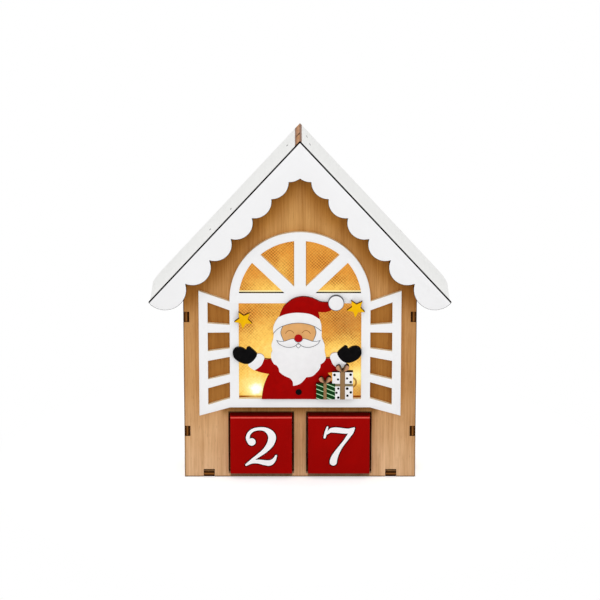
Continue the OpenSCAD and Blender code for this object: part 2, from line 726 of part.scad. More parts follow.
// A tube along a path: each ring stands square to the path, and is turned as little as can be
function unit(v) = v / norm(v);
function heading(path, i) = unit(path[min(i + 1, len(path) - 1)] - path[max(i - 1, 0)]);
function across(path, u, i = 0) = i == len(path) ? []
    : let(t = heading(path, i), v = unit(u - (u * t) * t)) concat([v], across(path, v, i + 1));
module tube(path, r, sides, u) {
    last = len(path) - 1;
    us = across(path, u);
    points = [for (i = [0 : last]) let(v = us[i], w = cross(heading(path, i), v)) for (k = [0 : sides - 1])
        path[i] + r * (cos(360 * k / sides) * v + sin(360 * k / sides) * w)];
    walls = [for (i = [0 : last - 1]) for (k = [0 : sides - 1])
        let(a = i * sides + k, b = i * sides + (k + 1) % sides)
        each [[a, a + sides, b], [b, a + sides, b + sides]]];
    start_cap = [for (k = [0 : sides - 1]) k];
    end_cap = [for (k = [sides - 1 : -1 : 0]) last * sides + k];
    polyhedron(points = points, faces = concat(walls, [start_cap, end_cap]));
}

module lamp_lead() color("darkgreen") tube(lead_path, lead_d / 2, lead_sides, [1, 0, 0]);

// The switch: a body in the box's chamber and a knob in the flange's slot, up for on
knob_l = 4;
knob_w = 3;
knob_h = 1.4;
switch_deep = 6;
switch_h = 14;
slot_h = switch_travel + knob_l;
switch_mid = switch_x + switch_room / 2;

// A block by its lowest corner and its highest
module block(low, high) translate(low) cube(high - low);

module battery_box() {
    color("dimgray") translate([0, 0, box_z]) difference() {
        union() {
            block([box_x, box_y, -box_w / 2], [box_x + box_l, back_y, box_w / 2]);
            block([-flange_l / 2, back_y, -flange_h / 2], [flange_l / 2, back_y + flange_t, flange_h / 2]);
        }
        block([cavity_x, cavity_y, -cavity_w / 2], [cavity_x + cavity_l, lid_y, cavity_w / 2]);
        block([-flange_l / 2 - over, lid_y - lid_fit, -groove_w / 2],
            [lid_end + lid_fit, lid_y + lid_t + lid_fit, groove_w / 2]);
        block([-flange_l / 2 - over, lid_y, -lip_w / 2],
            [lid_end + lid_fit, back_y + flange_t + over, lip_w / 2]);
        block([switch_x, box_y - over, -switch_h / 2 - fit],
            [switch_x + switch_room, back_y, switch_h / 2 + fit]);
        block([switch_mid - knob_w / 2 - lid_fit, back_y - over, -slot_h / 2 - lid_fit],
            [switch_mid + knob_w / 2 + lid_fit, back_y + flange_t + over, slot_h / 2 + lid_fit]);
        for (p = screw_places) translate([p[0], back_y - over, p[1]]) rotate([-90, 0, 0])
            cylinder(h = flange_t + 2 * over, r = screw_r + fit, $fn = small_fn);
    }
}

// The lid has a thick middle between the lips, with grip ribs at its free end
rib_n = 5;
rib_w = 0.8;
rib_pitch = 2;
rib_h = 0.5;
rib_share = 0.6;
module battery_lid() {
    color("gray") translate([0, 0, box_z]) {
        block([-flange_l / 2, lid_y, lid_fit - groove_w / 2], [lid_end, lid_y + lid_t, groove_w / 2 - lid_fit]);
        block([-flange_l / 2, lid_y, lid_fit - lip_w / 2], [lid_end, back_y + flange_t, lip_w / 2 - lid_fit]);
        for (i = [1 : rib_n])
            block([-flange_l / 2 + i * rib_pitch, lid_y + lid_t, -rib_share * lip_w / 2],
                [-flange_l / 2 + i * rib_pitch + rib_w, back_y + flange_t + rib_h, rib_share * lip_w / 2]);
    }
}

// A cell lies along X with its raised pole at the right, or turned round in the lower place
pole_r = 1.9;
pole_l = 0.9;
module in_cell_place(side) {
    mid = cavity_x + cavity_l / 2;
    translate([mid, cavity_y + cavity_d / 2, box_z + side * (cell_d + cell_gap) / 2])
        rotate([0, side > 0 ? 90 : -90, 0]) translate([0, 0, -cavity_l / 2]) children();
}
module battery_cells() {
    color("silver") for (side = [-1, 1]) in_cell_place(side) translate([0, 0, contact_t + spring_l]) {
        cylinder(h = cell_l - pole_l, r = cell_d / 2, $fn = round_fn);
        cylinder(h = cell_l, r = pole_r, $fn = small_fn);
    }
}

// Each spring is a coil that narrows from its plate to the cell
coil_turns = 3;
coil_rings = 8;
coil_sides = 6;
coil_wire = 0.6;
coil_wide = 3.4;
coil_narrow = 2.2;
coil_path = [for (i = [0 : coil_turns * coil_rings]) let(t = i / (coil_turns * coil_rings),
    a = 360 * i / coil_rings, r = coil_wide + t * (coil_narrow - coil_wide))
    [r * cos(a), r * sin(a), contact_t + coil_wire + t * (spring_l - 2 * coil_wire)]];
module contact_springs() {
    color("silver") for (side = [-1, 1]) in_cell_place(side)
        tube(coil_path, coil_wire / 2, coil_sides, [1, 0, 0]);
}

// A plate at both ends of the cavity: one joins the two cells, and the other two carry the current out
plate_share = 0.8;
module contact_plates() {
    plate_h = plate_share * cell_d / 2;
    mid_y = cavity_y + cavity_d / 2;
    color("silver") translate([0, 0, box_z]) {
        block([cavity_x, mid_y - plate_h, -plate_share * cavity_w / 2],
            [cavity_x + contact_t, mid_y + plate_h, plate_share * cavity_w / 2]);
        for (side = [-1, 1]) translate([0, 0, side * (cell_d + cell_gap) / 2])
            block([cavity_x + cavity_l - contact_t, mid_y - plate_h, -plate_h],
                [cavity_x + cavity_l, mid_y + plate_h, plate_h]);
    }
}

module switch_body() {
    color("black") translate([0, 0, box_z])
        block([switch_x + fit, back_y - switch_deep, -switch_h / 2],
            [switch_x + switch_room - fit, back_y, switch_h / 2]);
}
module switch_knob() {
    color("black") translate([switch_mid, 0, box_z + switch_travel / 2])
        block([-knob_w / 2, back_y + fit, -knob_l / 2],
            [knob_w / 2, back_y + flange_t + knob_h, knob_l / 2]);
}

module box_screws() {
    color("silver") for (p = screw_places)
        translate([p[0], back_y + flange_t, box_z + p[1]]) rotate([90, 0, 0]) {
            cylinder(h = flange_t + ply, r = screw_r, $fn = small_fn);
            difference() {
                translate([0, 0, -screw_head_h]) cylinder(h = screw_head_h, r = screw_head_r, $fn = small_fn);
                block([-screw_head_r - over, -screw_slot / 2, -screw_head_h - over],
                    [screw_head_r + over, screw_slot / 2, -screw_head_h / 2]);
            }
        }
}

// A square with rounded corners about its centre
module soft_square(w, r) {
    square([w, w - 2 * r], center = true);
    square([w - 2 * r, w], center = true);
    for (x = [-1, 1]) for (y = [-1, 1]) translate([x, y] * (w / 2 - r)) circle(r, $fn = small_fn);
}
// A cube with rounded edges, standing on the base board in its opening
module number_cube(side) {
    translate([side * cube_pitch / 2, front_y - cube_proud + cube_w / 2, ply + cube_w / 2])
        intersection_for (turn = [[0, 0, 0], [90, 0, 0], [0, 90, 0]]) rotate(turn)
            translate([0, 0, -cube_w / 2]) linear_extrude(cube_w) soft_square(cube_w, cube_r);
}
module tens_cube() color("firebrick") number_cube(-1);
module units_cube() color("firebrick") number_cube(1);

front_panel();
back_panel();
side_panel_left();
side_panel_right();
base_board();
inner_shelf();
block_divider();
roof_panel_left();
roof_panel_right();
fascia_trim();
window_frame();
backdrop_sheet();
figure_plate();
santa_coat();
santa_cuffs();
santa_mittens();
santa_beard();
santa_face();
santa_moustache();
santa_nose();
santa_hat();
santa_hat_brim();
santa_pompom();
santa_button();
gift_white();
gift_white_ribbon();
gift_green();
gift_green_ribbon();
star_left();
star_right();
lamp_board();
lamps();
lamp_sleeves();
lamp_lead();
battery_box();
battery_lid();
battery_cells();
contact_springs();
contact_plates();
switch_body();
switch_knob();
box_screws();
tens_cube();
units_cube();
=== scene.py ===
"""Looks of a wooden advent calendar in the shape of a little house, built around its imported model."""
import functools
import itertools
import json
import math

import bmesh
import bpy
from bpy.props import FloatProperty, FloatVectorProperty, PointerProperty
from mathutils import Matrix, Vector


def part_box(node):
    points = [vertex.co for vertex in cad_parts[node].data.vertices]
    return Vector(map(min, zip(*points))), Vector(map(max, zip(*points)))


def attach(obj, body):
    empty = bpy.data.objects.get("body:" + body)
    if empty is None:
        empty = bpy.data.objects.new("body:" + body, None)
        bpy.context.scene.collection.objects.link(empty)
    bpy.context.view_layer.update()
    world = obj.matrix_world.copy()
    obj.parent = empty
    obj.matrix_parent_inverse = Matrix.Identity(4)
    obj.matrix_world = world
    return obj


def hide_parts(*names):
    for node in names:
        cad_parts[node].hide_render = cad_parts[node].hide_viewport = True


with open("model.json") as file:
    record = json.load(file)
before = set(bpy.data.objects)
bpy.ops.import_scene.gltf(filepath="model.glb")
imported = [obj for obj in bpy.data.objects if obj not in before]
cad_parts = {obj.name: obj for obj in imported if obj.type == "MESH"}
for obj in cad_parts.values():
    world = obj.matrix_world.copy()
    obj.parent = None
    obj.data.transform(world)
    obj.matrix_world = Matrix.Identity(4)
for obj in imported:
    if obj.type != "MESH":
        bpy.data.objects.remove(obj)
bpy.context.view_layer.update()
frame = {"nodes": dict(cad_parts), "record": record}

bl_info = {
    "name": "Wooden advent calendar",
    "version": (1, 0, 0),
    "blender": (4, 5, 0),
    "location": "3D Viewport > Sidebar > Calendar",
    "description": "Dresses a house-shaped countdown calendar with its finishes, print and light",
    "category": "Object",
}

# A millimetre in metres
MM = 0.001
# Body that most pieces ride on
HOUSE = "house"
# Width of the camera's sensor in millimetres
SENSOR_WIDTH = 36.0


def srgb(red, green, blue):
    """A screen colour, 0 to 255, as linear light."""
    return tuple(c / 12.92 if c <= 0.04045 else ((c + 0.055) / 1.055) ** 2.4
                 for c in (red / 255, green / 255, blue / 255))


def toned(shade, factor):
    """A plain colour times a number."""
    return tuple(min(1.0, c * factor) for c in shade)


def box_mm(node):
    """Lowest and highest corner of a CAD node in millimetres."""
    low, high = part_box(node)
    return [v / MM for v in low], [v / MM for v in high]


# Settings


def colour(label, text, red, green, blue):
    return FloatVectorProperty(name=label, description=text, default=srgb(red, green, blue), subtype="COLOR",
                               size=3, min=0, max=1)


def length(label, text, millimetres):
    return FloatProperty(name=label, description=text, default=millimetres * MM, subtype="DISTANCE",
                         unit="LENGTH", min=0)


def amount(label, text, value):
    return FloatProperty(name=label, description=text, default=value, min=0)


class WoodSettings(bpy.types.PropertyGroup):
    """Plywood and its burnt edges."""
    ply: colour("Plywood", "Face of the plywood", 216, 164, 107)
    pale: colour("Pale plywood", "Face of the plywood at the foot of the house", 240, 198, 154)
    deep: colour("Deep plywood", "Face of the plywood at the gable", 220, 166, 99)
    grain: colour("Grain", "Dark streaks of the plywood", 178, 124, 70)
    burnt: colour("Burnt edge", "Edge that the laser burnt", 34, 12, 4)
    core: colour("Edge core", "Lighter layer between the burnt ones", 160, 102, 46)
    bevel: length("Edge softness", "Bevel of the boards' edges", 0.15)


class PaintSettings(bpy.types.PropertyGroup):
    """Paints of the roof, the trim, the window and the cubes."""
    white: colour("White paint", "Trim and window frame", 248, 248, 249)
    roof: colour("Roof paint", "Top of the roof panels", 252, 252, 250)
    cube: colour("Cube red", "Number cubes", 162, 3, 1)
    numeral: colour("Numeral", "Printed numbers", 253, 252, 254)
    star: colour("Star yellow", "Stars", 246, 188, 10)


class FigureSettings(bpy.types.PropertyGroup):
    """Colours of the printed figure and of its parcels."""
    coat: colour("Coat", "Coat and hat", 160, 2, 1)
    fur: colour("Fur and beard", "Beard, cuffs, brim and pompom", 245, 244, 245)
    skin: colour("Skin", "Face", 228, 172, 110)
    nose: colour("Nose", "Nose", 176, 12, 18)
    mitten: colour("Mittens", "Mittens and button", 10, 9, 10)
    line: colour("Outline", "Thin printed lines", 96, 98, 104)
    ribbon: colour("Ribbon", "Upright ribbons", 156, 122, 84)
    band: colour("Band", "Ribbon across the white parcel", 134, 121, 92)
    bow: colour("Bow", "Loops of the bows", 200, 148, 114)
    green: colour("Green paper", "Ground of the striped parcel", 4, 58, 16)
    stripe: colour("Stripe", "Stripes of the green parcel", 190, 236, 186)
    line_width: length("Line width", "Width of the printed lines", 0.36)
    dot_radius: length("Dot radius", "Radius of the parcel's dots", 0.84)


class GlowSettings(bpy.types.PropertyGroup):
    """Painted light of the woven sheet behind the window, given as its emission."""
    dim: colour("Dim cloth", "Cloth far from a lamp", 226, 153, 62)
    warm: colour("Warm cloth", "Cloth near a lamp", 252, 204, 98)
    bright: colour("Bright cloth", "Cloth right before a lamp", 254, 242, 156)
    thread: length("Thread pitch", "Distance between two threads", 1.5)
    strength: amount("Strength", "Emission of the sheet", 1.0)


class StageSettings(bpy.types.PropertyGroup):
    """Camera and lights."""
    distance: length("Camera distance", "From the front panel", 2250)
    elevation: FloatProperty(name="Elevation", description="Camera's height above the horizon",
                             default=math.radians(17.35), subtype="ANGLE")
    aim: length("Aim height", "Height that the camera looks at", 122.14)
    lens: amount("Lens", "Focal length in millimetres", 207.7)
    ambient: amount("Ambient", "Light from all round", 0.86)
    key: amount("Key light", "Power of the large light above the front, in watts", 2.7)
    fill: amount("Fill light", "Power of the front light, in watts", 3.2)


class CalendarSettings(bpy.types.PropertyGroup):
    """All settings of the calendar."""
    wood: PointerProperty(type=WoodSettings, name="Wood", description="Plywood and its edges")
    paint: PointerProperty(type=PaintSettings, name="Paint", description="Painted boards and cubes")
    figure: PointerProperty(type=FigureSettings, name="Figure", description="Printed figure and parcels")
    glow: PointerProperty(type=GlowSettings, name="Glow", description="Lit woven sheet")
    stage: PointerProperty(type=StageSettings, name="Stage", description="Camera and lights")


def settings():
    return bpy.context.scene.calendar


# Nodes


def both_ways(operation):
    """The operator of a wire for a Math node, and its reflected form."""
    return (lambda wire, other: wire.math(operation, wire, other),
            lambda wire, other: wire.math(operation, other, wire))


class Wire:
    """An output socket. Arithmetic on it adds Math nodes to its tree."""

    def __init__(self, nodes, socket):
        self.nodes = nodes
        self.socket = socket

    def math(self, operation, *values):
        return self.nodes.node("ShaderNodeMath", {"operation": operation}, dict(enumerate(values)))

    __add__, __radd__ = both_ways("ADD")
    __sub__, __rsub__ = both_ways("SUBTRACT")
    __mul__, __rmul__ = both_ways("MULTIPLY")
    __truediv__, __rtruediv__ = both_ways("DIVIDE")

    def __pow__(self, other):
        return self.math("POWER", self, other)

    def __neg__(self):
        return self.math("MULTIPLY", self, -1.0)

    def __abs__(self):
        return self.math("ABSOLUTE", self)

    def sine(self):
        return self.math("SINE", self)

    def exponent(self):
        return self.math("EXPONENT", self)

    def maximum(self, other):
        return self.math("MAXIMUM", self, other)

    def between(self, low, high):
        """0 below low, 1 above high, smooth between them."""
        return self.nodes.node("ShaderNodeMapRange", {"interpolation_type": "SMOOTHSTEP"},
                               {"Value": self, "From Min": low, "From Max": high})

    def outside(self, low, high):
        """1 below low, 0 above high, smooth between them."""
        return 1 - self.between(low, high)


class Nodes:
    """A node tree in the making, of a material, the world or a modifier."""

    def __init__(self, tree):
        self.tree = tree

    def node(self, kind, options=None, sockets=None, output=0):
        """Adds a node: its options are set first, then the values or links of its sockets."""
        made = self.tree.nodes.new(kind)
        for key, value in (options or {}).items():
            if key == "stops":
                self.set_stops(made.color_ramp, value)
            else:
                setattr(made, key, value)
        for key, value in (sockets or {}).items():
            self.feed(made.inputs[key], value)
        return Wire(self, made.outputs[output]) if made.outputs else None

    def set_stops(self, ramp, stops):
        while len(ramp.elements) < len(stops):
            ramp.elements.new(1.0)
        for element, (place, shade) in zip(ramp.elements, stops):
            element.position = place
            element.color = (*shade, 1.0)

    def feed(self, socket, value):
        if isinstance(value, Wire):
            self.tree.links.new(value.socket, socket)
        elif socket.type == "RGBA" and len(value) == 3:
            socket.default_value = (*value, 1.0)
        else:
            socket.default_value = value

    def ray(self, kind):
        """1 for rays of a kind, 0 for the others."""
        return self.node("ShaderNodeLightPath", output="Is " + kind + " Ray")

    def seen(self):
        """1 for what is seen directly, mirrored or through a clear piece, 0 for what only lights."""
        return self.ray("Camera").maximum(self.ray("Glossy")).maximum(self.ray("Transmission"))


class Finish(Nodes):
    """A material in the making: one Principled surface and the nodes that feed it."""

    def __init__(self, name, **constants):
        self.material = bpy.data.materials.new(name)
        self.material.use_nodes = True
        super().__init__(self.material.node_tree)
        self.surface = self.tree.nodes["Principled BSDF"]
        self.position = None
        self.set(**constants)

    def set(self, **values):
        """Feeds the surface, as base_color=..., roughness=..., normal=..., and gives its material."""
        for key, value in values.items():
            self.feed(self.surface.inputs[key.replace("_", " ").title().replace("Ior", "IOR")], value)
        return self.material

    def place(self):
        if self.position is None:
            self.position = self.node("ShaderNodeTexCoord", output="Object")
        return self.position

    def along(self, *direction):
        """Distance along a direction, in millimetres."""
        flat = self.node("ShaderNodeVectorMath", {"operation": "DOT_PRODUCT"},
                         {0: self.place(), 1: direction}, output="Value")
        return flat / MM

    def x(self):
        return self.along(1, 0, 0)

    def y(self):
        return self.along(0, 1, 0)

    def z(self):
        return self.along(0, 0, 1)

    def stretched(self, scale, shift=(0, 0, 0)):
        """Object coordinates, scaled by axis, for a pattern that is long one way."""
        return self.node("ShaderNodeMapping", {}, {"Vector": self.place(), "Location": shift, "Scale": scale})

    def noise(self, scale, detail=2.0, roughness=0.5, distortion=0.0, vector=None):
        return self.node("ShaderNodeTexNoise", {}, {
            "Vector": vector or self.place(), "Scale": scale, "Detail": detail, "Roughness": roughness,
            "Distortion": distortion})

    def mix(self, share, low, high, blend="MIX"):
        return self.node("ShaderNodeMix", {"data_type": "RGBA", "blend_type": blend},
                         {0: share, 6: low, 7: high}, output=2)

    def tinted(self, share, base, tint):
        """A colour times another, by a share."""
        return self.mix(share, base, tint, "MULTIPLY")

    def shade(self, base, factor):
        """A colour times a number."""
        return self.node("ShaderNodeVectorMath", {"operation": "SCALE"}, {0: base, "Scale": factor})

    def bump(self, height, depth, strength):
        """A relief of a depth in millimetres."""
        return self.node("ShaderNodeBump", {},
                         {"Height": height, "Distance": depth * MM, "Strength": strength})


FINISHES = {}


def once(make):
    """Keeps each finish under its name, so that it is made only once."""
    @functools.wraps(make)
    def kept(name, *values, **options):
        if name not in FINISHES:
            FINISHES[name] = make(name, *values, **options)
        return FINISHES[name]
    return kept


# Finishes of the boards


def long_way(axis, share):
    """Scale of a pattern that is long along an axis."""
    return [share if k == axis else 1.0 for k in range(3)]


@once
def birch(name, grain, shift, tone=1.0, rise=None, marks=None):
    """Raw plywood face: fine streaks and short pores along its grain.

    rise gives the heights in millimetres at which an upright board is pale, plain and deep in colour. marks
    takes the finish, its colour and its clouds, and gives the colour back with painted shade and burnt edges."""
    wood = settings().wood
    f = Finish(name, specular_ior_level=0.1)
    thin = f.stretched(long_way(grain, 0.035), shift)
    lines = f.noise(1150.0, 4.0, 0.62, vector=thin)
    bands = f.noise(150.0, 2.0, 0.5, 0.35, vector=thin)
    clouds = f.noise(26.0, vector=f.stretched((1, 1, 1), shift))
    pores = f.noise(2100.0, 1.0, vector=f.stretched(long_way(grain, 0.09), shift)).between(0.66, 0.74)
    streak = lines.between(0.36, 0.7) * 0.42 + bands.between(0.35, 0.68) * 0.4
    streak = streak + clouds.between(0.3, 0.75) * 0.3
    face = toned(wood.ply, tone)
    if rise:
        height = f.z() + (clouds - 0.5) * 24.0
        face = f.mix(height.between(rise[0], rise[1]), wood.pale, wood.ply)
        face = f.mix(height.between(rise[1], rise[2]), face, wood.deep)
    face = f.tinted(streak, face, tuple(g / p for g, p in zip(wood.grain, wood.ply)))
    face = f.mix(pores * 0.35, face, toned(wood.grain, 0.62 * tone))
    if marks:
        face = marks(f, face, clouds)
    return f.set(base_color=face, roughness=0.56 + lines * 0.16,
                 normal=f.bump(lines * 0.7 + pores * -0.5, 0.06, 0.5))


def under_trim(f):
    """Distance under the trim's upper edge, square to it, in millimetres."""
    slope = roof_slope()
    apex = box_mm("fascia_trim")[1][2]
    return f.along(0, 0, -math.cos(slope)) - abs(f.along(math.sin(slope), 0, 0)) + apex * math.cos(slope)


# Corners of a shutter in millimetres: its outer edge with foot and top, and where it meets the frame
SHUTTER = {"outer": 65.9, "foot": 43.57, "top": 129.15, "root": 45.8, "root_top": 121.97, "sill": 49.3}


def shutter_cover(aside, up):
    """Share of the painted shade behind the shutters: 1 on the board behind them, 0 beside them. They get
    lower towards the window.
    """
    width = SHUTTER["outer"] - SHUTTER["root"]
    reach = aside - SHUTTER["root"]
    below = SHUTTER["root_top"] + reach * ((SHUTTER["top"] - SHUTTER["root_top"]) / width) - up
    above = up - SHUTTER["sill"] - reach * ((SHUTTER["foot"] - SHUTTER["sill"]) / width)
    return below.between(1.5, 4.5) * above.between(1.0, 4.0) * aside.outside(61.0, 64.0)


def front_marks(f, face, clouds):
    """Painted shade under trim, sill and shutters, burnt rims along the front panel's sides and foot, a dark
    border round each cube opening that is partly burn and partly painted shade, and a painted shadow on the
    strip under each cube.
    """
    side = box_mm("front_panel")[1][0]
    low, high = box_mm("units_cube")
    aside, up = abs(f.x()), f.z()
    # Painted shade under the scalloped trim
    gable = (under_trim(f) + (clouds - 0.5) * 8.0).outside(17.0, 33.0)
    face = f.tinted(gable, face, (0.65, 0.5, 0.23))
    beside = abs(aside - (low[0] + high[0]) / 2) - (high[0] - low[0]) / 2
    hole = beside.maximum(abs(up - (low[2] + high[2]) / 2) - (high[2] - low[2]) / 2)
    # foot: painted shadow on the strip of board under each cube
    foot = beside.outside(-0.4, 0.6) * up.outside(low[2], low[2] + 0.4)
    # Burnt rims at the board's sides and foot, the cube openings' border (partly burn, partly painted shade)
    # and the painted shadow under the cubes, all in the burnt colour
    smoke = aside.between(side - 1.0, side - 0.1).maximum(up.outside(0.2, 1.1))
    smoke = smoke.maximum(hole.outside(0.9, 1.7)).maximum(foot)
    face = f.mix(smoke * 0.7, face, settings().wood.burnt)
    # Painted shade under the window's sill
    drop = sill_foot() - up
    under = drop.between(-1.5, -0.5) * drop.outside(0.0, 10.0) * aside.outside(49.0, 53.0)
    face = f.tinted(under, face, (0.44, 0.34, 0.16))
    # Painted shade behind the shutters
    return f.tinted(shutter_cover(aside, up), face, (0.66, 0.52, 0.26))


@once
def layered_edge(name, direction, low, high, dark=1.0):
    """Burnt plywood edge: sooty next to both faces, with a lighter layer in its middle."""
    wood = settings().wood
    f = Finish(name, roughness=0.75, specular_ior_level=0.0)
    ripple = f.noise(420.0, 3.0)
    depth = (f.along(*direction) - low) / (high - low) + (ripple - 0.5) * 0.05
    off = abs(depth - 0.5)
    outer = off.between(0.2, 0.25) * off.outside(0.28, 0.34)
    soot = f.noise(95.0).between(0.3, 0.7)
    layer = (off.outside(0.08, 0.17) * 0.85 + outer * 0.4) * (1 - soot * 0.3)
    face = f.mix(layer, wood.burnt, wood.core)
    return f.set(base_color=f.shade(face, dark), normal=f.bump(layer + ripple, 0.1, 0.6))


def board_edge(node, axis):
    """Burnt edge of a board whose thickness lies along an axis."""
    low, high = box_mm(node)
    return layered_edge("Edge " + node, [int(k == axis) for k in range(3)], low[axis], high[axis])


@once
def ridge_end(name):
    """Raw end of a roof panel along the ridge: brown layers along it, and a seam across it."""
    f = Finish(name, roughness=0.7, specular_ior_level=0.08)
    streak = f.noise(900.0, 3.0, vector=f.stretched(long_way(1, 0.08))).between(0.3, 0.7)
    clouds = f.noise(90.0).between(0.3, 0.7)
    face = f.mix(streak, srgb(218, 166, 122), srgb(182, 130, 84))
    face = f.mix(clouds * 0.4, face, srgb(190, 136, 108))
    along = f.y() + (f.noise(500.0) - 0.5) * 1.6
    seam = along.between(0.8, 1.3) * along.outside(4.2, 4.7)
    face = f.mix(seam * 0.9, face, srgb(80, 46, 14))
    across = f.x() + (f.noise(260.0, 3.0) - 0.5) * 1.4
    char = across.outside(-2.5, -2.0).maximum(across.between(-0.6, -0.1))
    face = f.mix(char * 0.5, face, srgb(58, 38, 22))
    return f.set(base_color=face, normal=f.bump(streak - seam, 0.1, 0.5))


@once
def lamplit_edge(name):
    """Edge of the front panel under the lit window: brown, with painted lamp light that turns it golden near
    the lamp on the left.
    """
    f = Finish(name, roughness=0.7, specular_ior_level=0.08)
    grime = f.noise(300.0, 3.0).between(0.3, 0.7)
    # Painted lamp light: golden near the lamp on the left, brown further off
    near = abs(f.x() + 26.0).outside(2.0, 12.0)
    face = f.mix(near, srgb(176, 104, 34), srgb(246, 204, 116))
    face = f.mix(grime * 0.3, face, srgb(120, 70, 22))
    return f.set(base_color=face, normal=f.bump(grime, 0.08, 0.5))


@once
def transom_edge(name):
    """Upper edge of the transom: burnt, with the lamps' light painted on it between its ends."""
    f = Finish(name, roughness=0.75, specular_ior_level=0.05)
    grime = f.noise(500.0, 3.0)
    # Painted lamp light: lighter near the two lamps, nearly black further from them
    far = abs(abs(f.x()) - 26.0).between(4.0, 14.0)
    face = f.mix(far, srgb(84, 74, 30), srgb(6, 5, 3))
    return f.set(base_color=f.shade(face, 0.7 + grime * 0.6), normal=f.bump(grime, 0.06, 0.4))


@once
def soot_edge(name):
    """Black edge of the painted trim."""
    f = Finish(name, roughness=0.85, specular_ior_level=0.0)
    grime = f.noise(500.0, 3.0)
    return f.set(base_color=f.mix(grime, srgb(3, 2, 2), srgb(16, 11, 8)), normal=f.bump(grime, 0.08, 0.5))


@once
def pale_edge(name):
    """Cream cut edge of the window frame, with a thin burnt line next to its face."""
    low, high = box_mm("window_frame")
    f = Finish(name, roughness=0.6, specular_ior_level=0.1)
    depth = (f.y() - low[1]) / (high[1] - low[1])
    grime = f.noise(300.0, 3.0)
    face = f.mix(grime, srgb(255, 247, 222), srgb(246, 226, 182))
    line = depth.between(0.1, 0.2) * depth.outside(0.24, 0.36)
    face = f.mix(line * 0.5, face, srgb(120, 84, 50))
    return f.set(base_color=face, normal=f.bump(grime, 0.06, 0.4))


@once
def parcel_edge(name):
    """Dark edge of the parcels' boards, reddish where it is thin."""
    f = Finish(name, roughness=0.7, specular_ior_level=0.04)
    soot = f.noise(380.0, 3.0).between(0.35, 0.7)
    return f.set(base_color=f.mix(soot, srgb(58, 12, 6), srgb(16, 8, 5)), normal=f.bump(soot, 0.06, 0.5))


# Paint and print


@once
def sprayed(name, paint, grain=0.0, specks=0.0, marks=None):
    """Matt white paint on board: a fine orange peel, faint clouds, and the grain or specks that show through.

    marks takes the finish and gives pairs of a share and a colour, as of smoke next to a burnt edge."""
    f = Finish(name, roughness=0.55, specular_ior_level=0.12)
    peel = f.noise(1700.0)
    clouds = f.noise(34.0, 3.0).between(0.3, 0.72)
    streak = f.noise(620.0, 3.0, vector=f.stretched(long_way(1, 0.06))).between(0.45, 0.75)
    face = f.mix(clouds * 0.5, paint, toned(paint, 0.965))
    face = f.mix(streak * grain, face, toned(paint, 0.93))
    spot = f.node("ShaderNodeTexVoronoi", {"feature": "F1"}, {"Vector": f.place(), "Scale": 58.0})
    speck = spot.outside(0.03, 0.085) * f.noise(40.0, 0.0).between(0.56, 0.6)
    face = f.mix(speck * specks, face, srgb(150, 148, 142))
    for share, tint in marks(f) if marks else ():
        face = f.mix(share, face, tint)
    return f.set(base_color=face, normal=f.bump(peel * 0.35 + streak * grain - speck * specks, 0.06, 0.6))


SMOKE = srgb(18, 11, 8)
SCORCH = srgb(136, 86, 50)
# Places of the small dents in the roof's paint, in millimetres across and along the house
ROOF_DENTS = ((-8.4, 5.0), (6.5, -0.5), (4.5, 11.3), (-44.9, -4.5), (-58.5, -0.5))


def roof_marks(f):
    """Smoke along the roof's front edge, scorched paint beside the ridge, and the dents in the paint."""
    ripple = (f.noise(300.0, 3.0) - 0.5) * 0.5
    across = f.x() + ripple
    beside_ridge = across.between(-3.5, -3.1) * across.outside(0.9, 1.4)
    smoke = (f.y() + ripple * 0.3).outside(-22.8, -22.1)
    along = f.y() + ripple * 2.0
    for x, y in ROOF_DENTS:
        dx, dy = (across - x + (along - y) * 0.12) / 0.5, (along - y) / 2.0
        smoke = smoke.maximum((dx * dx + dy * dy).outside(0.2, 1.4) * 0.7)
    return (beside_ridge * 0.95, SCORCH), (smoke, SMOKE)


def trim_marks(f):
    """Thin burnt line along the trim's upper edge."""
    return ((under_trim(f).outside(0.5, 0.66), SMOKE),)


@once
def printed(name, paint, roughness=0.5, mottle=0.06):
    """Printed or painted field: an even colour with a faint mottle and the board's texture under it."""
    f = Finish(name, specular_ior_level=0.03)
    mottled = f.noise(260.0, 3.0).between(0.3, 0.7)
    fibre = f.noise(2400.0)
    return f.set(base_color=f.mix(mottled, toned(paint, 1 - mottle), toned(paint, 1 + mottle)),
                 roughness=roughness - 0.06 + fibre * 0.12, normal=f.bump(fibre, 0.03, 0.5))


@once
def striped(name):
    """Green paper with thin pale stripes that fall to the right."""
    look = settings().figure
    f = Finish(name, roughness=0.5, specular_ior_level=0.06)
    slant = f.along(0.42, 0, 1.0) + 0.25 * f.noise(300.0)
    wave = ((slant - 2.4) * (2 * math.pi / 3.1)).sine()
    stripe = wave.between(0.78, 0.92)
    shadow = wave.between(0.1, 0.5) * (1 - stripe)
    face = f.mix(shadow * 0.8, look.green, toned(look.green, 0.25))
    return f.set(base_color=f.mix(stripe, face, look.stripe), normal=f.bump(f.noise(2400.0), 0.03, 0.5))


@once
def ribboned(name, middle, half, top):
    """Ribbon of a parcel: upright up to the parcel's top, another shade across it, and pinker in the bow."""
    look = settings().figure
    f = Finish(name, roughness=0.5, specular_ior_level=0.06)
    mottled = f.noise(420.0, 3.0).between(0.3, 0.7)
    fibre = f.noise(2400.0, vector=f.stretched(long_way(2, 0.2)))
    aside, up = abs(f.x() - middle), f.z()
    face = f.mix(aside.between(half - 0.05, half + 0.05), look.ribbon, look.band)
    fold = aside.between(half * 0.6, half) * aside.outside(half, half + 0.1)
    face = f.mix(fold * 0.45, face, toned(look.ribbon, 0.5))
    off_knot = aside - (up - top) * 0.4
    bow = f.mix(off_knot.between(0.1, 1.3), toned(look.ribbon, 0.42), look.bow)
    face = f.mix(up.between(top - 0.1, top + 0.5), face, bow)
    face = f.mix(mottled * 0.35, face, f.shade(face, 0.72))
    return f.set(base_color=face, normal=f.bump(fibre, 0.04, 0.5))


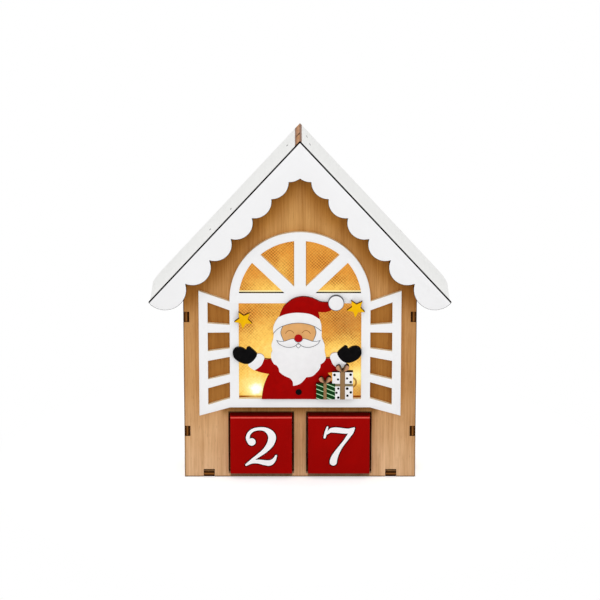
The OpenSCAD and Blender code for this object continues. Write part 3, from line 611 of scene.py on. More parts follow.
@once
def gloss_red(name):
    """Satin red paint of the cubes, with a painted highlight on the front face just under its upper edge, and
    painted shade on the front part of the top.
    """
    low, high = box_mm("tens_cube")
    front, top = low[1], high[2]
    red = settings().paint.cube
    f = Finish(name, specular_ior_level=0.03)
    clouds = f.noise(60.0, 3.0).between(0.3, 0.7)
    peel = f.noise(900.0)
    up = f.z() + (peel - 0.5) * 0.3
    depth = f.y() - front
    # Painted highlight: a light line across the front face just under the top edge
    painted_highlight = up.between(top - 2.0, top - 1.6) * up.outside(top - 1.2, top - 0.8) * depth.outside(0.3, 0.8)
    # Painted shade: darker red on the top, strongest at its front edge and fading further back
    painted_top_shade = up.between(top - 0.4, top - 0.1) * depth.outside(1.0, 15.0)
    face = f.mix(clouds, red, toned(red, 0.88))
    face = f.mix(painted_highlight, face, srgb(232, 92, 82))
    face = f.mix(painted_top_shade * 0.78, face, srgb(34, 2, 2))
    return f.set(base_color=face, roughness=0.38 + peel * 0.1, normal=f.bump(peel, 0.04, 0.5))


# The lit sheet

# Places of the painted pools of lamp light on the sheet in millimetres, with their reach across, their reach
# up and their strength
GLOWS = (
    (-28.6, 59.4, 4.8, 4.8, 0.48), (-30.0, 61.0, 16.0, 12.5, 0.64), (-33.0, 83.0, 16.0, 12.0, 0.36),
    (-27.0, 98.0, 12.0, 8.0, 0.24), (-18.0, 108.0, 10.0, 8.0, 0.16), (-16.0, 86.0, 10.0, 10.0, 0.34),
    (38.0, 69.0, 9.0, 8.5, 0.7), (24.0, 86.0, 16.0, 8.0, 0.46), (34.0, 94.0, 9.0, 7.0, 0.16),
    (-19.0, 127.0, 16.0, 8.0, 0.4), (-12.0, 142.0, 7.0, 7.0, 0.2), (22.0, 127.0, 15.0, 7.0, 0.36),
)
# The same for the spots of painted shade
SHADES = ((31.0, 106.0, 12.0, 9.0, 0.9), (39.0, 59.0, 5.0, 5.0, 0.8))
# Height of the fan light's centre, inner radius of its arch and height of the transom's top, in millimetres
FAN_CENTRE = 123.1
FAN_REACH = 42.1
TRANSOM_TOP = 127.79
# Middle and radius of the bend in the painted shadow of the lamps' lead beside the parcels, in millimetres
LEAD_BEND = (33.4, 64.3, 3.4)


def spots(across, up, places):
    """Soft round spots, added up."""
    total = 0
    for x, z, wide, tall, power in places:
        dx, dz = (across - x) / wide, (up - z) / tall
        total = total + (-(dx * dx + dz * dz)).exponent() * power
    return total


def distance(across, up, x, z):
    """Distance from a point of the upright plane."""
    return ((across - x) ** 2.0 + (up - z) ** 2.0) ** 0.5


@once
def lit_cloth(name):
    """Loosely woven cloth on the slant; the lamps' light from behind is painted on it as emission."""
    glow = settings().glow
    f = Finish(name, roughness=0.9, specular_ior_level=0.0, emission_strength=glow.strength)
    across, up = f.x(), f.z()
    turn = math.pi / (glow.thread / MM)
    warp = ((f.along(0.7071, 0, 0.7071) + f.noise(180.0) * 0.6) * turn).sine()
    weft = ((f.along(0.7071, 0, -0.7071) + f.noise(160.0) * 0.6) * turn).sine()
    over = (warp * weft).between(-0.15, 0.15)
    threads = over * abs(weft) + (1 - over) * abs(warp)
    # Painted lamp light: the glowing spots, with some noise, choose the cloth's colour
    level = spots(across, up, GLOWS) + (f.noise(500.0, 3.0) - 0.5) * 0.34
    stops = (0.0, glow.dim), (0.4, glow.warm), (0.78, glow.bright), (1.0, (1.0, 0.99, 0.94))
    cloth = f.node("ShaderNodeValToRGB", {"stops": stops}, {0: level})
    blotch = f.noise(110.0).between(0.3, 0.7)
    gaps = (1 - threads) * (0.4 + blotch * 0.7) * (1 - level.between(0.1, 0.5) * 0.8)
    cloth = f.shade(cloth, 0.92 + gaps * 0.35 + f.noise(1100.0, 1.0) * 0.3)
    cloth = f.tinted(gaps, cloth, (0.2, 0.09, 0.03))
    # Spots of painted shade
    cloth = f.tinted(spots(across, up, SHADES), cloth, (0.76, 0.76, 0.95))
    # Shade under the arch and beside the middle bar
    arch = distance(across, up, 0.0, FAN_CENTRE - 1.6).between(FAN_REACH - 1.3, FAN_REACH - 0.3)
    bar = abs(across).outside(3.9, 4.5) * up.between(120.0, 124.0)
    cloth = f.mix((arch * up.between(118.0, 122.0)).maximum(bar) * 0.55, cloth, srgb(120, 72, 22))
    # Light that spills over the transom
    spill = up.between(126.2, 126.5) * up.outside(127.3, 127.7)
    cloth = f.mix(spill * 0.8, cloth, srgb(255, 246, 186))
    # Shadow of the lamps' lead, right of the bend's middle
    x, z, radius = LEAD_BEND
    lead = abs(distance(across, up, x, z) - radius).outside(0.35, 0.85) * across.between(x + 0.8, x + 1.8)
    cloth = f.mix(lead * 0.85, cloth, srgb(146, 92, 30))
    return f.set(base_color=srgb(40, 26, 14), emission_color=cloth, normal=f.bump(threads, 0.2, 0.6))


# Finishes of the lighting and its battery box


@once
def moulded(name, plastic, roughness=0.45):
    """Moulded plastic with a fine texture."""
    f = Finish(name)
    texture = f.noise(3200.0)
    wear = f.noise(120.0, 3.0).between(0.4, 0.8)
    face = f.mix(wear, plastic, tuple(min(1.0, c * 1.25 + 0.004) for c in plastic))
    return f.set(base_color=face, roughness=roughness + (texture - 0.5) * 0.2,
                 normal=f.bump(texture, 0.08, 0.5))


@once
def bright_steel(name):
    """Plated steel of screws, springs and contacts."""
    f = Finish(name, metallic=1.0)
    scratches = f.noise(2600.0, 3.0, vector=f.stretched(long_way(2, 0.08)))
    return f.set(base_color=f.mix(scratches, srgb(190, 192, 196), srgb(150, 152, 158)),
                 roughness=0.24 + scratches * 0.16, normal=f.bump(scratches, 0.02, 0.4))


@once
def sleeved_cell(name):
    """Printed sleeve of the cells: dark, with a lighter band at one end."""
    low, high = box_mm("battery_cells")
    f = Finish(name, roughness=0.35, specular_ior_level=0.5)
    band = ((f.x() - low[0]) / (high[0] - low[0])).between(0.68, 0.685)
    scuff = f.noise(400.0, 3.0)
    face = f.mix(band, srgb(40, 44, 50), srgb(190, 120, 40))
    face = f.mix(scuff.between(0.6, 0.8) * 0.4, face, srgb(120, 120, 120))
    return f.set(base_color=face, normal=f.bump(scuff, 0.03, 0.4))


@once
def warm_lamp(name):
    """Pale resin of the lamps, which shines."""
    f = Finish(name, roughness=0.15, base_color=srgb(255, 236, 190), emission_strength=2.0)
    return f.set(emission_color=f.mix(f.noise(600.0), srgb(255, 214, 120), srgb(255, 240, 190)))


# Shapes

# Vertices nearer than this are merged, in metres
DOUBLE = 2e-6
# Heights or reaches nearer than this count as the same, in metres
LEVEL = 1e-5
# Angles between two faces: up to the first they are one face, over the second their edge is shaded as sharp,
# and over the third it is bevelled
FLAT, CREASED, SHARP = math.radians(0.4), math.radians(32), math.radians(35)
# Least share of a normal along a direction for a face that looks that way
FACE_ON = 0.6
# Height of a printed line over its ground, its depth under it and the width of its chamfer
INK_LINE = (0.03 * MM, 0.05 * MM, 0.02 * MM)
# Share of a print's height at which its chamfer starts
SHOULDER = 0.35


def merged(node):
    """A CAD node's mesh with its doubles merged and its flat areas joined."""
    bm = bmesh.new()
    bm.from_mesh(frame["nodes"][node].data)
    bmesh.ops.remove_doubles(bm, verts=bm.verts, dist=DOUBLE)
    bmesh.ops.dissolve_limit(bm, angle_limit=FLAT, verts=bm.verts, edges=bm.edges)
    return bm


def soften(bm, width):
    """Bevels the sharp edges."""
    sharp = [e for e in bm.edges if e.is_manifold and e.calc_face_angle(0.0) > SHARP]
    if width > 0 and sharp:
        bmesh.ops.bevel(bm, geom=sharp, offset=width, offset_type="OFFSET", segments=2, profile=0.5,
                        affect="EDGES", clamp_overlap=True)


def placed(name, data):
    """A new object in the scene."""
    thing = bpy.data.objects.new(name, data)
    bpy.context.scene.collection.objects.link(thing)
    return thing


def shown(bm, name, materials, pick=None):
    """Makes a bmesh an object. pick gives a face's place in materials from its normal and centre."""
    if pick:
        bm.normal_update()
        for face in bm.faces:
            face.material_index = pick(face.normal, face.calc_center_median())
    mesh = bpy.data.meshes.new(name)
    bm.to_mesh(mesh)
    bm.free()
    for material in materials:
        mesh.materials.append(material)
    for polygon in mesh.polygons:
        polygon.use_smooth = True
    mesh.set_sharp_from_angle(angle=CREASED)
    return placed(name, mesh)


def slot_of(node):
    """Material slot of a CAD node."""
    return next(part["material_slot"] for part in frame["record"]["subparts"] if part["node"] == node)


def body_of(node):
    """Body that a CAD node belongs to."""
    return next(body for body, nodes in frame["record"]["behaviour"]["bodies"].items() if node in nodes)


def dress(node, materials, pick=None, bevel=0.0):
    """A copy of a CAD node with softened edges and a finish for each of its faces.

    It takes the node's place and body."""
    bm = merged(node)
    soften(bm, bevel)
    piece = shown(bm, node + "_dressed", materials, pick)
    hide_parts(node)
    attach(piece, body_of(node))
    slot_of(node)
    return piece


def facing(axis=1, least=FACE_ON):
    """0 for faces that look along an axis or against it, 1 for the edges between them."""
    return lambda normal, centre: 0 if abs(normal[axis]) > least else 1


def added(bm, name, material, body, slot):
    """A new piece that rides on a body."""
    bmesh.ops.recalc_face_normals(bm, faces=bm.faces)
    piece = shown(bm, name, [material])
    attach(piece, body)
    return piece


def smooth_path(points, steps=6, closed=False):
    """A smooth curve through points of any dimension."""
    n = len(points)
    at = (lambda i: points[i % n]) if closed else (lambda i: points[min(max(i, 0), n - 1)])
    out = []
    for i in range(n if closed else n - 1):
        a, b, c, d = (at(i + k) for k in (-1, 0, 1, 2))
        for j in range(steps):
            t = j / steps
            out.append(tuple(0.5 * (2 * q + (r - p) * t + (2 * p - 5 * q + 4 * r - s) * t * t
                                    + (3 * q - p - 3 * r + s) * t ** 3) for p, q, r, s in zip(a, b, c, d)))
    return out if closed else out + [tuple(points[-1])]


def leftward(start, end):
    """Unit vector to the left of the way from one point to another."""
    du, dv = end[0] - start[0], end[1] - start[1]
    size = math.hypot(du, dv) or 1.0
    return -dv / size, du / size


def skin_over(bm, rings, closed=False):
    """Faces between each ring of vertices and the next, and caps where the row isn't closed."""
    sides = len(rings[0])
    for a, b in zip(rings, rings[1:] + (rings[:1] if closed else [])):
        for k in range(sides):
            bm.faces.new((a[k], a[(k + 1) % sides], b[(k + 1) % sides], b[k]))
    if not closed:
        bm.faces.new(rings[0][::-1])
        bm.faces.new(rings[-1])


def ridge(bm, path, place, rise, sink, chamfer, closed=False):
    """A low ridge along (u, v, half width) points; place turns (u, v, height) into a point."""
    n = len(path)
    rings = []
    for i, (u, v, half) in enumerate(path):
        before, after = path[i - 1 if closed or i else i], path[(i + 1) % n if closed or i < n - 1 else i]
        nu, nv = leftward(before, after)
        inner = max(half - chamfer, half * 0.35)
        ring = [(half, -sink), (half, rise * SHOULDER), (inner, rise)]
        ring += [(-s, h) for s, h in reversed(ring)]
        rings.append([bm.verts.new(place(u + nu * s, v + nv * s, h)) for s, h in ring])
    skin_over(bm, rings, closed)


def button(bm, u, v, radius, place, rise, sink, chamfer, sides=28):
    """A low disc."""
    turns = [2 * math.pi * k / sides for k in range(sides)]
    steps = (radius, -sink), (radius, rise * SHOULDER), (max(radius - chamfer, radius * 0.4), rise)
    skin_over(bm, [[bm.verts.new(place(u + r * math.cos(turn), v + r * math.sin(turn), h)) for turn in turns]
                   for r, h in steps])


def front_loops(node):
    """The outlines of a node's foremost flat faces, in metres, and those faces' Y."""
    bm = merged(node)
    front = min(v.co.y for v in bm.verts)
    faces = {f for f in bm.faces if f.normal.y < -0.99 and abs(f.calc_center_median().y - front) < LEVEL}
    links = {}
    for edge in bm.edges:
        if len([f for f in edge.link_faces if f in faces]) == 1:
            a, b = edge.verts
            links.setdefault(a.index, []).append(b.index)
            links.setdefault(b.index, []).append(a.index)
    places = {v.index: (v.co.x, v.co.z) for v in bm.verts}
    bm.free()
    loops, seen = [], set()
    for start in links:
        if start in seen:
            continue
        loop, last, here = [], None, start
        while here not in seen:
            seen.add(here)
            loop.append(places[here])
            onward = [k for k in links[here] if k != last and k not in seen]
            last, here = here, onward[0] if onward else start
        loops.append(loop)
    return loops, front


def sides_of(loop):
    """Each point of a loop with the next one."""
    return zip(loop, loop[1:] + loop[:1])


def front_loop(node):
    """The largest outline of a node's foremost flat face, anticlockwise, and that face's Y."""
    loops, front = front_loops(node)

    def area(loop):
        return sum(p[0] * q[1] - q[0] * p[1] for p, q in sides_of(loop)) / 2
    best = max(loops, key=lambda loop: abs(area(loop)))
    return (best if area(best) > 0 else best[::-1]), front


def nearest_field(groups):
    """Gives a function from a point's X and Z to the group whose nodes have the nearest outline."""
    lines = [(Vector(p), Vector(q), place) for place, nodes in enumerate(groups) for node in nodes
             for loop in front_loops(node)[0] for p, q in sides_of(loop)]

    def gap(line, point):
        start, end, _ = line
        run = end - start
        share = min(1.0, max(0.0, (point - start).dot(run) / (run.dot(run) or 1.0)))
        return (start + run * share - point).length_squared

    def nearest(x, z):
        point = Vector((x, z))
        return min(lines, key=lambda line: gap(line, point))[2]
    return nearest


def printed_line(node, inset, keep=None):
    """Runs of (u, v) points just inside a node's front outline.

    keep chooses them by how far the way inwards points up, from -1 to 1."""
    loop, front = front_loop(node)
    runs, run = [], []
    for i, (u, v) in enumerate(loop):
        nu, nv = leftward(loop[i - 1], loop[(i + 1) % len(loop)])
        if keep is None or keep(nv):
            run.append((u + nu * inset, v + nv * inset))
        elif run:
            runs.append(run)
            run = []
    if run and runs:
        runs[0] = run + runs[0]
    elif run:
        runs.append(run)
    return runs, front


def on_plane(y):
    """A place on an upright plane that faces the viewer: u is X, v is Z and height comes forward."""
    return lambda u, v, h: (u, y - h, v)


def sill_foot():
    """Height of the sill's lower edge in millimetres."""
    points = [v.co / MM for v in frame["nodes"]["window_frame"].data.vertices]
    return min(p.z for p in points if abs(p.x) < 47)


def roof_slope():
    """Angle of the trim's upper edge with the horizon."""
    points = [v.co for v in frame["nodes"]["fascia_trim"].data.vertices]
    reach = max(p.x for p in points)
    eave = max(p.z for p in points if p.x > reach - LEVEL)
    return math.atan2(max(p.z for p in points) - eave, reach)


# Numerals

# Strokes of each numeral as (across, up, half width) in hundredths of its height; a ring is a closed stroke,
# and a ball is (across, up, radius)
NUMERALS = {
    0: {"rings": [[(38, 96, 4.2), (20, 85, 7), (11, 66, 9.6), (9, 50, 10.2), (11, 34, 9.6), (20, 15, 7),
                   (38, 4, 4.2), (56, 15, 7), (65, 34, 9.6), (67, 50, 10.2), (65, 66, 9.6), (56, 85, 7)]]},
    1: {"strokes": [[(40, 98, 6), (40, 60, 7.8), (40, 30, 7.8), (40, 4, 7)],
                    [(14, 79, 2.6), (24, 84, 4), (38, 96, 5)],
                    [(13, 2.5, 2.4), (30, 4.5, 4.2), (50, 4.5, 4.2), (67, 2.5, 2.4)]]},
    2: {"strokes": [[(9.9, 61.7, 4), (7.6, 72.6, 5), (11.2, 84.2, 4.6), (21.1, 92.6, 4.4), (35.8, 95.6, 4.4),
                     (49.7, 93.7, 5.6), (60.9, 85.3, 8.4), (65.8, 73.7, 9.7), (61.7, 57.9, 8.8),
                     (50.1, 42.1, 6.6), (35.3, 29.5, 5), (18.8, 16.8, 4), (4.8, 4.8, 3.4)],
                    [(3.6, 4.2, 3), (16.8, 11.2, 4.4), (32.6, 12.6, 5.6), (49.5, 9.5, 7), (61.1, 9.5, 7.4),
                     (70.1, 16.8, 5), (75.2, 27.4, 2.8)]],
        "balls": [(16.8, 62.5, 10.1)]},
    3: {"strokes": [[(9, 80, 4), (13, 90, 4.2), (29, 96, 4.6), (47, 93, 6.5), (56, 80, 9), (52, 66, 8),
                     (38, 56, 5), (27, 53, 3.4)],
                    [(27, 53, 3.4), (46, 51, 5.4), (61, 39, 9), (63, 24, 10), (54, 9, 7.5), (36, 3.6, 4.6),
                     (18, 6, 4.2), (8, 16, 4), (8, 24, 4)]],
        "balls": [(17, 79, 9), (16, 23, 9.4)]},
    4: {"strokes": [[(51, 97, 4), (34, 70, 4.2), (18, 46, 4), (4, 29, 3.4)],
                    [(3, 28, 3.4), (34, 28, 5), (74, 29, 4)],
                    [(52, 97, 6.4), (52, 50, 8), (52, 5, 7.4)],
                    [(34, 2.6, 2.6), (52, 4.2, 4.2), (70, 2.6, 2.6)]]},
    5: {"strokes": [[(18, 95, 4), (36, 91, 7.4), (54, 93, 6.4), (67, 98, 2.8)],
                    [(19, 95, 3.6), (16, 75, 4), (13, 57, 2.8)],
                    [(13, 57, 2.8), (30, 63, 5), (49, 60, 7.5), (63, 46, 10), (63, 26, 10.4), (50, 9, 7),
                     (32, 3.6, 4.6), (16, 6, 4.2), (7, 16, 4), (8, 24, 4)]],
        "balls": [(16, 22, 9.4)]},
    6: {"strokes": [[(63, 96, 2.6), (43, 88, 5), (25, 70, 8.5), (14, 46, 10), (16, 24, 9.6), (26, 9, 6.4),
                     (40, 4, 4.4), (55, 9, 7), (64, 24, 9.6), (62, 41, 8.6), (50, 55, 5.4), (37, 58, 4),
                     (20, 46, 3)]]},
    7: {"strokes": [[(10.9, 98.1, 2.6), (7.7, 86.5, 3.6), (4.1, 71.8, 3.1)],
                    [(10.5, 81.5, 2.4), (15.5, 87, 4.6), (21.2, 90.1, 6.5), (31.4, 90.6, 7.3),
                     (44.2, 89.1, 7.3), (54.5, 88.1, 7), (62.1, 88.5, 6.4), (68.6, 91.7, 5),
                     (74.4, 95.3, 2.8)],
                    [(74.4, 94.9, 2.8), (68.4, 85.3, 5.2), (60.8, 74.4, 5.2), (53.2, 62.8, 4.6),
                     (44.2, 50.6, 4.8), (35.3, 36.5, 6.2), (28.8, 23.7, 8), (25.6, 14.1, 9), (25, 9.4, 9)]],
        "balls": [(25, 9.2, 9.1)]},
    8: {"rings": [[(38, 96, 4), (25, 90, 6), (20, 77, 7.4), (26, 62, 6.4), (38, 54, 4.6), (50, 62, 6.4),
                   (56, 77, 7.4), (51, 90, 6)],
                  [(38, 53, 4.4), (20, 42, 7.6), (13, 27, 9.6), (20, 11, 7.4), (38, 4, 4.4), (56, 11, 7.4),
                   (63, 27, 9.6), (56, 42, 7.6)]]},
}
# Middle of a numeral in those hundredths
NUMERAL_MIDDLE = (38.5, 50)
# What each stroke lies over the one before, so that no two tops are in one plane
STROKE_STEP = 0.008 * MM
# Depth of a numeral under its face, and the widest chamfer of its strokes
NUMERAL_SINK, NUMERAL_CHAMFER = 0.1 * MM, 0.14 * MM


def numeral(bm, digit, height, place, rise, grow):
    """One numeral about the middle of its face; grow widens its strokes."""
    shape = NUMERALS[digit]
    scale = height / 100
    tops = (rise + step * STROKE_STEP for step in itertools.count())
    under = (NUMERAL_SINK, min(NUMERAL_CHAMFER, rise * 0.8))

    def scaled(points):
        return [((u - NUMERAL_MIDDLE[0]) * scale, (v - NUMERAL_MIDDLE[1]) * scale, half * scale + grow)
                for u, v, half in points]
    for points in map(scaled, shape.get("strokes", [])):
        ridge(bm, smooth_path(points), place, next(tops), *under)
        top = next(tops)
        for u, v, half in (points[0], points[-1]):
            button(bm, u, v, half * 0.98, place, top, *under, sides=20)
    for points in map(scaled, shape.get("rings", [])):
        ridge(bm, smooth_path(points, closed=True), place, next(tops), *under, closed=True)
    for u, v, radius in scaled(shape.get("balls", [])):
        button(bm, u, v, radius, place, next(tops), *under)


# Operators


class CALENDAR_OT_boards(bpy.types.Operator):
    """Dress the plywood boards of the house"""
    bl_idname = "calendar.boards"
    bl_label = "Plywood boards"
    # The axis along which each board is thin
    THIN = {"front_panel": 1, "back_panel": 1, "side_panel_left": 0, "side_panel_right": 0,
            "base_board": 2, "inner_shelf": 2, "block_divider": 0}

    def execute(self, context):
        bevel = settings().wood.bevel
        height = box_mm("front_panel")[1][2]
        for node, axis in self.THIN.items():
            front = node == "front_panel"
            upright = axis < 2 and node != "block_divider"
            face = birch("Birch " + node, 0 if axis == 2 else 2, (0.013 * len(node), 0.2 * axis, 0.31 * axis),
                         rise=(0, height * 0.3, height * 0.85) if upright else None,
                         marks=front_marks if front else None)
            finishes = [face, board_edge(node, axis)] + ([lamplit_edge("Lamplit edge")] if front else [])
            dress(node, finishes, self.window_foot if front else facing(axis), bevel)
        board = birch("Lamp board face", 0, (0.1, 0, 0), 1.1)
        dress("lamp_board", [board, board_edge("lamp_board", 1)], facing(), bevel)
        return {"FINISHED"}

    @staticmethod
    def window_foot(normal, centre):
        """0 for the faces, 1 for the edges and 2 for the edge at the window opening's foot."""
        if abs(normal.y) > FACE_ON:
            return 0
        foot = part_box("window_frame")[0][2]
        inside = abs(centre.x) < 42 * MM and foot < centre.z < foot + 20 * MM
        return 2 if normal.z > FACE_ON and inside else 1


class CALENDAR_OT_roof(bpy.types.Operator):
    """Dress the two roof panels: white on top, raw below and at the ridge"""
    bl_idname = "calendar.roof"
    bl_label = "Roof panels"

    def execute(self, context):
        paint = sprayed("Roof paint", settings().paint.roof, 0.4, 0.55, roof_marks)
        slope = roof_slope()
        for side, node in ((-1, "roof_panel_left"), (1, "roof_panel_right")):
            up = Vector((side * math.sin(slope), 0, math.cos(slope)))
            heights = [v.co.dot(up) / MM for v in frame["nodes"][node].data.vertices]
            edge = layered_edge("Edge " + node, up, min(heights), max(heights))
            raw = birch("Birch " + node, 1, (0.2 * side, 0, 0))
            dress(node, [paint, edge, raw, ridge_end("Ridge end")], self.faces(up), bevel=0.12 * MM)
        return {"FINISHED"}

    @staticmethod
    def faces(up):
        """0 for a panel's top, 1 for its edges, 2 for its underside and 3 for its end at the ridge."""
        def pick(normal, centre):
            lean = normal.dot(up)
            if abs(centre.x) < 4 * MM and normal.z > 0.3 and lean < FACE_ON:
                return 3
            return 0 if lean > FACE_ON else 2 if lean < -FACE_ON else 1
        return pick


class CALENDAR_OT_trim(bpy.types.Operator):
    """Dress the scalloped gable trim"""
    bl_idname = "calendar.trim"
    bl_label = "Gable trim"

    def execute(self, context):
        paint = sprayed("Trim paint", settings().paint.white, marks=trim_marks)
        dress("fascia_trim", [paint, soot_edge("Soot edge")], facing(least=0.95), bevel=0.28 * MM)
        return {"FINISHED"}


class CALENDAR_OT_window(bpy.types.Operator):
    """Dress the window frame with its fan light and shutters, and the lit sheet behind it"""
    bl_idname = "calendar.window"
    bl_label = "Window"

    def execute(self, context):
        finishes = [sprayed("Window paint", settings().paint.white), pale_edge("Pale edge"),
                    transom_edge("Transom edge")]
        dress("window_frame", finishes, self.faces, bevel=0.15 * MM)
        cloth = dress("backdrop_sheet", [lit_cloth("Lit cloth")])
        # The cut is a rectangle under a half disc
        return {"FINISHED"}

    @staticmethod
    def faces(normal, centre):
        """0 for the painted faces, 1 for the cut edges and 2 for the transom's upper edge."""
        if abs(normal.y) > FACE_ON:
            return 0
        return 2 if normal.z > FACE_ON and abs(centre.z / MM - TRANSOM_TOP) < 0.3 else 1


class CALENDAR_OT_figure(bpy.types.Operator):
    """Dress the figure's plate and printed fields, and draw its thin lines"""
    bl_idname = "calendar.figure"
    bl_label = "Figure"
    # Corners of the lip and of the two closed eyes, in millimetres
    LIP = ((-1.1, 95.4), (0.6, 93.4), (-1.1, 91.0), (-2.8, 93.4))
    EYES = (((-9.5, 100.8), (-8.4, 102.3), (-6.7, 103.0), (-5.0, 102.4), (-3.9, 101.1)),
            ((1.2, 101.1), (2.3, 102.4), (4.0, 103.0), (5.7, 102.3), (6.8, 100.8)))
    # Fields that give the plate's edge next to them the look of coat, fur, mittens, lines and parcels in turn
    EDGES = (("santa_coat", "santa_hat"), ("santa_cuffs", "santa_beard", "santa_hat_brim"),
             ("santa_mittens",), ("santa_pompom",),
             ("gift_white", "gift_green", "gift_white_ribbon", "gift_green_ribbon"))

    def execute(self, context):
        look = settings().figure
        coat = printed("Coat red", look.coat)
        fur = printed("Fur white", look.fur, 0.55, 0.015)
        skin = printed("Skin tan", look.skin, 0.55, 0.04)
        dark = printed("Mitten black", look.mitten, 0.42, 0.3)
        nose = printed("Nose red", look.nose, 0.4)
        grey = printed("Outline grey", look.line, 0.6)
        hem = printed("Coat edge", srgb(98, 2, 2), 0.6, 0.2)
        rim = printed("Fur edge", srgb(214, 206, 196), 0.6, 0.1)
        raw = birch("Birch figure", 2, (0.3, 0.1, 0.1))
        finishes = [raw, hem, rim, dark, grey, parcel_edge("Parcel edge")]
        nearest = nearest_field(self.EDGES)

        def pick(normal, centre):
            return 0 if abs(normal.y) > FACE_ON else 1 + nearest(centre.x, centre.z)
        dress("figure_plate", finishes, pick, bevel=0.1 * MM)
        for field, face, side in (("coat", coat, hem), ("cuffs", fur, rim), ("mittens", dark, dark),
                                  ("beard", fur, rim), ("face", skin, skin), ("moustache", fur, fur),
                                  ("nose", nose, nose), ("hat", coat, hem), ("hat_brim", fur, rim),
                                  ("pompom", fur, grey), ("button", dark, dark)):
            dress("santa_" + field, [face, side], facing(), bevel=0.08 * MM)
        self.lines(look.line_width, grey)
        self.eyes()
        return {"FINISHED"}

    @staticmethod
    def lines(width, grey):
        """Thin lines round moustache, pompom and lip, and along parts of the face and the brim."""
        bm = bmesh.new()
        half = width / 2
        for node, keep in (("santa_moustache", None), ("santa_pompom", None),
                           ("santa_face", lambda upward: upward > -0.75),
                           ("santa_hat_brim", lambda upward: upward > 0.25)):
            runs, front = printed_line(node, half, keep)
            for run in runs:
                path = [(u, v, half) for u, v in run]
                ridge(bm, path, on_plane(front), *INK_LINE, closed=keep is None)
        path = [(u * MM, v * MM, width * 0.45) for u, v in smooth_path(CALENDAR_OT_figure.LIP, 4, True)]
        ridge(bm, path, on_plane(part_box("santa_beard")[0][1]), *INK_LINE, closed=True)
        added(bm, "printed_lines", grey, HOUSE, "off_white_paint")

    @staticmethod
    def eyes():
        """The two closed eyes."""
        bm = bmesh.new()
        for arc in CALENDAR_OT_figure.EYES:
            path = [(u * MM, v * MM, 0.2 * MM) for u, v in smooth_path(arc)]
            ridge(bm, path, on_plane(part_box("santa_face")[0][1]), *INK_LINE)
        added(bm, "printed_eyes", printed("Eye brown", srgb(150, 92, 44), 0.6), HOUSE, "skin_paint")


class CALENDAR_OT_parcels(bpy.types.Operator):
    """Dress the two parcels and scatter the dots of the white one"""
    bl_idname = "calendar.parcels"
    bl_label = "Parcels"
    # Places of the dots on the white paper, in millimetres
    DOTS = ((22.5, 73.3), (24.8, 70.2), (33.0, 73.5), (30.7, 70.9), (33.1, 68.4), (25.0, 63.9), (23.8, 61.0),
            (25.0, 57.7), (30.8, 63.9), (33.2, 61.3), (31.0, 59.0))

    def execute(self, context):
        look = settings().figure
        edge = parcel_edge("Parcel edge")
        for node, paper, half in (("gift_white", printed("Parcel white", look.fur, 0.5, 0.015), 1.63),
                                  ("gift_green", striped("Green paper"), 1.05)):
            dress(node, [paper, edge], facing(), bevel=0.08 * MM)
            ribbon = ribboned("Ribbon " + node, self.middle_of(node + "_ribbon"), half, box_mm(node)[1][2])
            dress(node + "_ribbon", [ribbon, edge], facing(), bevel=0.08 * MM)
        self.dots(look.dot_radius)
        return {"FINISHED"}

    @staticmethod
    def middle_of(ribbon):
        """X of the middle of a ribbon's foot, in millimetres."""
        points = [v.co for v in frame["nodes"][ribbon].data.vertices]
        foot = min(p.z for p in points)
        ends = [p.x for p in points if p.z < foot + LEVEL]
        return (min(ends) + max(ends)) / 2 / MM

    def dots(self, size):
        """Flat discs of slightly different sizes at the places of the dots."""
        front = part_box("gift_white")[0][1]
        mesh = bpy.data.meshes.new("dot_places")
        mesh.from_pydata([(x * MM, front, z * MM) for x, z in self.DOTS], [], [])
        source = placed("dot_places", mesh)
        tree = bpy.data.node_groups.new("Dots on places", "GeometryNodeTree")
        values = {"Radius": ("Float", size), "Depth": ("Float", 0.1 * MM),
                  "Ink": ("Material", printed("Dot black", srgb(26, 24, 24), 0.5, 0.2))}
        tree.interface.new_socket("Geometry", in_out="INPUT", socket_type="NodeSocketGeometry")
        tree.interface.new_socket("Geometry", in_out="OUTPUT", socket_type="NodeSocketGeometry")
        inputs = {name: tree.interface.new_socket(name, in_out="INPUT", socket_type="NodeSocket" + kind)
                  for name, (kind, _) in values.items()}
        self.scatter(Nodes(tree))
        modifier = source.modifiers.new("Dots", "NODES")
        modifier.node_group = tree
        for name, socket in inputs.items():
            modifier[socket.identifier] = values[name][1]
        made = bpy.data.meshes.new_from_object(source.evaluated_get(bpy.context.evaluated_depsgraph_get()))
        bpy.data.objects.remove(source)
        piece = placed("parcel_dots", made)
        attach(piece, HOUSE)

    @staticmethod
    def scatter(nodes):
        """The dots' tree: a disc on each point, with a fixed seed for the sizes."""
        points, radius, depth, ink = (nodes.node("NodeGroupInput", output=name)
                                      for name in ("Geometry", "Radius", "Depth", "Ink"))
        disc = nodes.node("GeometryNodeMeshCylinder", {}, {"Vertices": 18, "Radius": radius, "Depth": depth})
        size = nodes.node("FunctionNodeRandomValue", {"data_type": "FLOAT"},
                          {2: 0.85, 3: 1.12, "Seed": 4}, output=1)
        forward = (math.radians(90), 0, 0)
        spread = nodes.node("GeometryNodeInstanceOnPoints", {},
                            {"Points": points, "Instance": disc, "Rotation": forward, "Scale": size})
        real = nodes.node("GeometryNodeRealizeInstances", {}, {"Geometry": spread})
        inked = nodes.node("GeometryNodeSetMaterial", {}, {"Geometry": real, "Material": ink})
        nodes.node("NodeGroupOutput", {}, {"Geometry": inked})


class CALENDAR_OT_stars(bpy.types.Operator):
    """Dress the two stars"""
    bl_idname = "calendar.stars"
    bl_label = "Stars"

    def execute(self, context):
        yellow = printed("Star yellow", settings().paint.star, 0.45, 0.05)
        low, high = box_mm("star_left")
        edge = layered_edge("Edge star", (0, 1, 0), low[1], high[1], 1.3)
        for node in ("star_left", "star_right"):
            dress(node, [yellow, edge], facing(), bevel=0.1 * MM)
        return {"FINISHED"}


